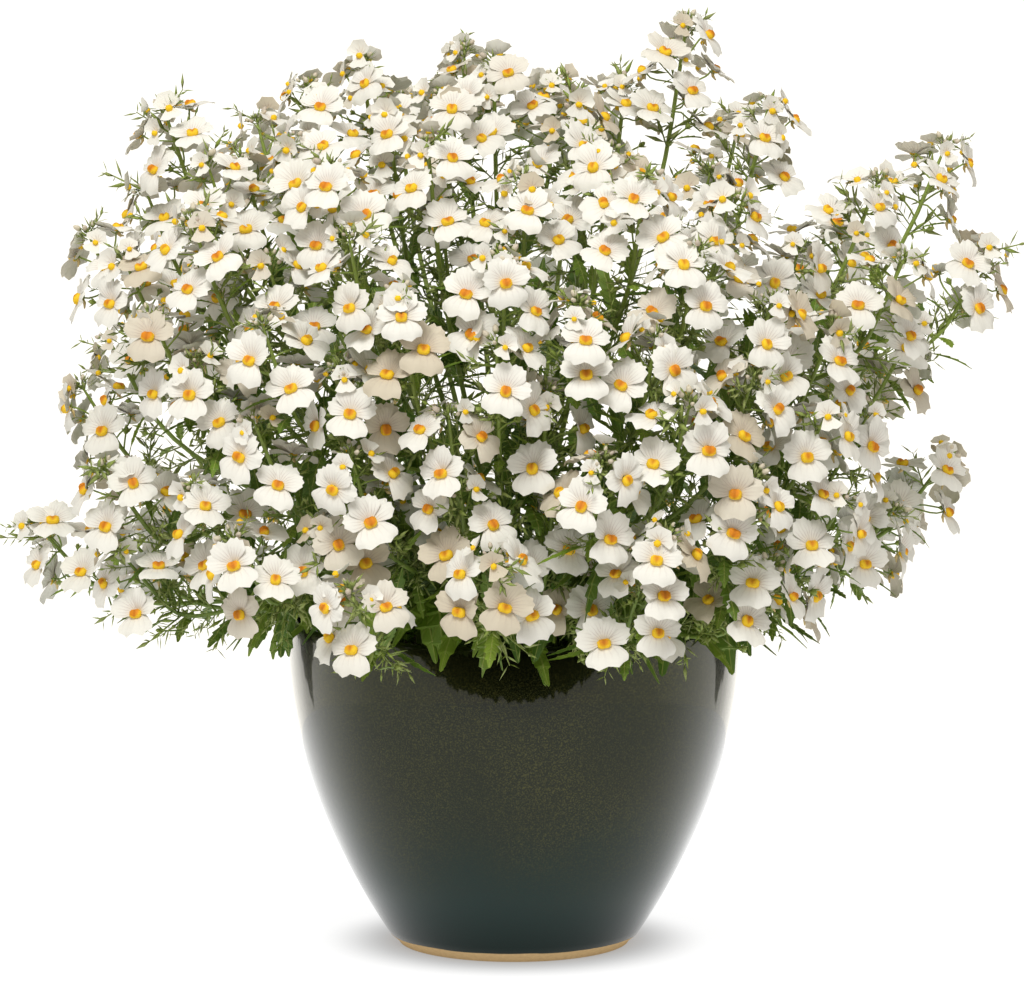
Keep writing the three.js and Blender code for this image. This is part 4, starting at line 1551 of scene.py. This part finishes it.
class NEMESIA_OT_leaves(bpy.types.Operator):
    """Draw the toothed leaves along the stems and over the rim"""

    bl_idname = "nemesia.leaves"
    bl_label = "Leaves"

    def execute(self, context):
        draws = Draws(6)
        lines = Lines()
        centres = np.array([bloom.centre for bloom in all_blooms()])
        for leaves in (stem_leaves, rim_leaves):
            for leaf in leaves(draws, centres):
                add_blade(lines, *leaf)
        material = new_material("leaf", leaf_sockets)
        inputs = {"Fold": LEAF_FOLD, "Thickness": LEAF_THICKNESS, "Material": material}
        grow("leaves", lines.mesh("leaf_lines"), sweep_tree("swept_leaf", True), inputs)
        return {"FINISHED"}


class NEMESIA_OT_sprigs(bpy.types.Operator):
    """Set the side shoots of narrow leaves along the stems"""

    bl_idname = "nemesia.sprigs"
    bl_label = "Side shoots"

    def execute(self, context):
        draws = Draws(12)
        spots = Spots()
        centres = np.array([bloom.centre for bloom in all_blooms()])
        for stem in plants:
            for curve, head in zip(stem.curves, stem.heads):
                for i in range(SPRIGS_PER_STEM):
                    share = SPRIG_SPAN[0] + SPRIG_SPAN[1] * (i + draws.draw()) / SPRIGS_PER_STEM
                    start = curve.point(share)
                    if share >= 1:
                        start = head.down((SPRIG_TOP - share) * SPRIG_DROP)
                    along = curve.along(min(share, 1))
                    beside = unit(np.cross(along, [0.3, 0.9, 0.1]))
                    way = unit(turned(beside, along, draws.between(0, 360)) + along * 0.7)
                    size = draws.between(0.7, 1.3)
                    if is_clear([start + way * 10 * size, start + way * 20 * size], centres):
                        turn = turn_along(way, draws.between(*ANY_ROLL))
                        spots.add(start, turn, size, draws.pick(SPRIG_VARIANTS), draws.draw())
        material = new_material("sprig", tuft_sockets)
        scatter("sprigs", spots, [sprig(i) for i in range(SPRIG_VARIANTS)], material)
        return {"FINISHED"}


def head_spots(seed):
    """One spot at the top of each head."""
    draws = Draws(seed)
    spots = Spots()
    for head in all_heads():
        turn = turn_along(head.axis, draws.between(*ANY_ROLL))
        size = draws.between(0.85, 1.1)
        spots.add(head.tip, turn, size, draws.pick(HEAD_VARIANTS), draws.draw())
    return spots


class NEMESIA_OT_tufts(bpy.types.Operator):
    """Set the burst of young green leaves on every head"""

    bl_idname = "nemesia.tufts"
    bl_label = "Tufts"

    def execute(self, context):
        material = new_material("tuft", tuft_sockets)
        scatter("tufts", head_spots(7), [tuft(i) for i in range(HEAD_VARIANTS)], material)
        return {"FINISHED"}


class NEMESIA_OT_young_flowers(bpy.types.Operator):
    """Set the small flowers that have just opened, close to the top of every head"""

    bl_idname = "nemesia.young_flowers"
    bl_label = "Young flowers"

    def execute(self, context):
        draws = Draws(15)
        spots = Spots()
        for head in all_heads():
            for i in range(YOUNG_ON_TOP if head.tip[2] > TOP_FROM else YOUNG_PER_HEAD):
                away = head.around(GOLDEN_ANGLE * i + draws.jitter(20))
                lower = max(0, i - YOUNG_PER_HEAD + 1)
                place = head.down(draws.between(-5, 5) + lower * 5)
                place = place + away * (draws.between(7, 10) + lower * 1.5)
                facing = unit(away + head.outward * 0.6 + UP * draws.between(0.1, 0.9))
                top = turned(unit(UP - facing * facing[2]), facing, draws.jitter(30))
                turn = turn_of(np.cross(top, facing), top, facing)
                size = draws.between(0.8, 1.15)
                spots.add(place, turn, size, draws.pick(YOUNG_VARIANTS), draws.draw())
        flowers = [young_flower(i) for i in range(YOUNG_VARIANTS)]
        scatter("young_flowers", spots, flowers, petal_material())
        return {"FINISHED"}


class NEMESIA_OT_buds(bpy.types.Operator):
    """Set the closed buds on every head"""

    bl_idname = "nemesia.buds"
    bl_label = "Buds"

    def execute(self, context):
        material = new_material("bud", bud_sockets)
        scatter("buds", head_spots(8), [buds(i) for i in range(HEAD_VARIANTS)], material)
        return {"FINISHED"}


class NEMESIA_OT_capsules(bpy.types.Operator):
    """Set the seed capsules on the stalks of spent flowers"""

    bl_idname = "nemesia.capsules"
    bl_label = "Seed capsules"

    def execute(self, context):
        spots = Spots()
        for _, way, end, draw in spent_stalks(5):
            turn = turn_along(way, draw * ANY_ROLL[1])
            spots.add(end, turn, 0.75 + 0.4 * draw, int(draw * CAPSULE_VARIANTS), draw)
        material = new_material("capsule", tuft_sockets)
        scatter("capsules", spots, [capsule(i) for i in range(CAPSULE_VARIANTS)], material)
        return {"FINISHED"}


# The stage, in metres. The white room's walls are set by the turn and the height at which gloss
# looks: the turn is 0 in front and 2 at the back.
CAMERA_PLACE = (-0.001, -2.4, 0.49)
CAMERA_DROP = 6.3
LENS = 170.2
FLOOR_RADIUS = 0.49
FLOOR_SIDES = 64
# The floor's glow is dimmed within these radii of the pot's axis, a painted contact shadow, and
# raised behind the pot, painted light.
FLOOR_SHADOW_CORE = 0.052
FLOOR_SHADOW_EDGE = 0.1
FLOOR_BACK = [-0.15, 0.05]
FLOOR_GLOWS = [0.35, 0.6, 0.3]
KEY_PLACE = (-0.3, -1.7, 2.1)
KEY_SIZE = 0.9
AIM = (0.0, 0.0, 0.25)
WARM_WHITE = (1.0, 0.97, 0.91, 1.0)
BACKGROUND = 1.2
FRONT_GAP = (0.44, 0.33)
SIDE_GAP = (1.63, 1.0, 0.27)
SIDE_WALL = (0.7, 1.1)
BACK_WALL = (1.72, 1.82)
WALL_GLOWS = (1.2, 0.3, 0.3)


def add_light(name, place, size, power):
    light = bpy.data.lights.new(name, "AREA")
    light.shape = "RECTANGLE"
    light.size = light.size_y = size
    light.energy = power
    lamp = bpy.data.objects.new(name, light)
    lamp.location = place
    lamp.rotation_euler = (Vector(AIM) - Vector(place)).to_track_quat("-Z", "Y").to_euler()
    bpy.context.scene.collection.objects.link(lamp)


def white_room(fill):
    """Light from all round. Gloss sees a dark gap in front and a narrow one at each side."""
    world = bpy.data.worlds.new("white_room")
    world.use_nodes = True
    world.node_tree.nodes.clear()
    world.cycles.sampling_method = "NONE"
    graph = Graph(world.node_tree)
    rays = graph.node("ShaderNodeLightPath")
    way = graph.node("ShaderNodeTexCoord").out("Generated")
    x, y, z = graph.parts(way)
    wave = (graph.noise(22.0, 1.0, way) - 0.5) * 0.1
    turn = 1 + y / graph.math("SQRT", x * x + y * y + 0.0001) + wave
    drop = (z + (graph.noise(30.0, 1.0, way) - 0.5) * 0.06) / FRONT_GAP[1]
    front = graph.rise(turn / FRONT_GAP[0] + drop * drop, 0.96, 1.04)
    beside = graph.math("ABSOLUTE", turn - SIDE_GAP[0]) - (z + SIDE_GAP[2]) * SIDE_GAP[1]
    side = graph.rise(turn, *SIDE_WALL) * WALL_GLOWS[1]
    back = graph.rise(turn, *BACK_WALL) * WALL_GLOWS[2]
    walls = front * graph.rise(beside, -0.015, 0.015) * (WALL_GLOWS[0] + side + back)
    gloss = rays.out("Is Glossy Ray")
    strength = gloss * walls + (1 - gloss) * fill
    seen = rays.out("Is Camera Ray")
    light = graph.node("ShaderNodeBackground", {}, {
        "Color": WARM_WHITE, "Strength": strength + seen * (BACKGROUND - fill),
    })
    graph.node("ShaderNodeOutputWorld", {}, {"Surface": light})
    return world


class NEMESIA_OT_stage(bpy.types.Operator):
    """Lay the pale floor, and set the key light, the white room and the camera"""

    bl_idname = "nemesia.stage"
    bl_label = "Stage"

    def execute(self, context):
        scene = context.scene
        looks = scene.nemesia_stage
        mesh = bpy.data.meshes.new("floor")
        corners = [level_way(turn) * FLOOR_RADIUS for turn in round_turns(FLOOR_SIDES)]
        mesh.from_pydata(corners, [], [range(FLOOR_SIDES)])
        new_piece("floor", mesh, new_material("floor", floor_sockets))
        add_light("key_light", KEY_PLACE, KEY_SIZE, looks.key_power)
        scene.world = white_room(looks.fill)
        camera = bpy.data.cameras.new("camera")
        camera.lens = LENS
        camera.clip_end = 20
        viewer = bpy.data.objects.new("camera", camera)
        viewer.location = CAMERA_PLACE
        viewer.rotation_euler = (math.radians(90 - CAMERA_DROP), 0, 0)
        scene.collection.objects.link(viewer)
        scene.camera = viewer
        scene.view_settings.view_transform = "Standard"
        scene.cycles.diffuse_bounces = 3
        scene.cycles.glossy_bounces = 2
        return {"FINISHED"}


STEPS = [
    NEMESIA_OT_pot, NEMESIA_OT_soil, NEMESIA_OT_stems, NEMESIA_OT_leaves, NEMESIA_OT_sprigs,
    NEMESIA_OT_upper_petals, NEMESIA_OT_lower_lips, NEMESIA_OT_palates, NEMESIA_OT_calyces,
    NEMESIA_OT_young_flowers, NEMESIA_OT_tufts, NEMESIA_OT_buds, NEMESIA_OT_capsules,
    NEMESIA_OT_stage,
]


class NEMESIA_PT_panel(bpy.types.Panel):
    """Lists the steps that build the plant, and their sizes and colours"""

    bl_idname = "NEMESIA_PT_panel"
    bl_label = "Potted nemesia"
    bl_space_type = "VIEW_3D"
    bl_region_type = "UI"
    bl_category = "Nemesia"

    def draw(self, context):
        for step in STEPS:
            self.layout.operator(step.bl_idname)
        for name in LOOKS:
            group = getattr(context.scene, name)
            for label in group.__annotations__:
                self.layout.prop(group, label)


LOOKS = {
    "nemesia_pot": NemesiaPotLooks,
    "nemesia_flower": NemesiaFlowerLooks,
    "nemesia_foliage": NemesiaFoliageLooks,
    "nemesia_stage": NemesiaStageLooks,
}


def register():
    for kind in (*LOOKS.values(), *STEPS, NEMESIA_PT_panel):
        bpy.utils.register_class(kind)
    for name, kind in LOOKS.items():
        setattr(bpy.types.Scene, name, PointerProperty(type=kind))


def unregister():
    for name in LOOKS:
        delattr(bpy.types.Scene, name)
    for kind in (NEMESIA_PT_panel, *STEPS, *LOOKS.values()):
        bpy.utils.unregister_class(kind)


def main():
    register()
    for step in STEPS:
        getattr(bpy.ops.nemesia, step.bl_idname.split(".")[1])()
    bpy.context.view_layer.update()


if __name__ == "__main__":
    main()
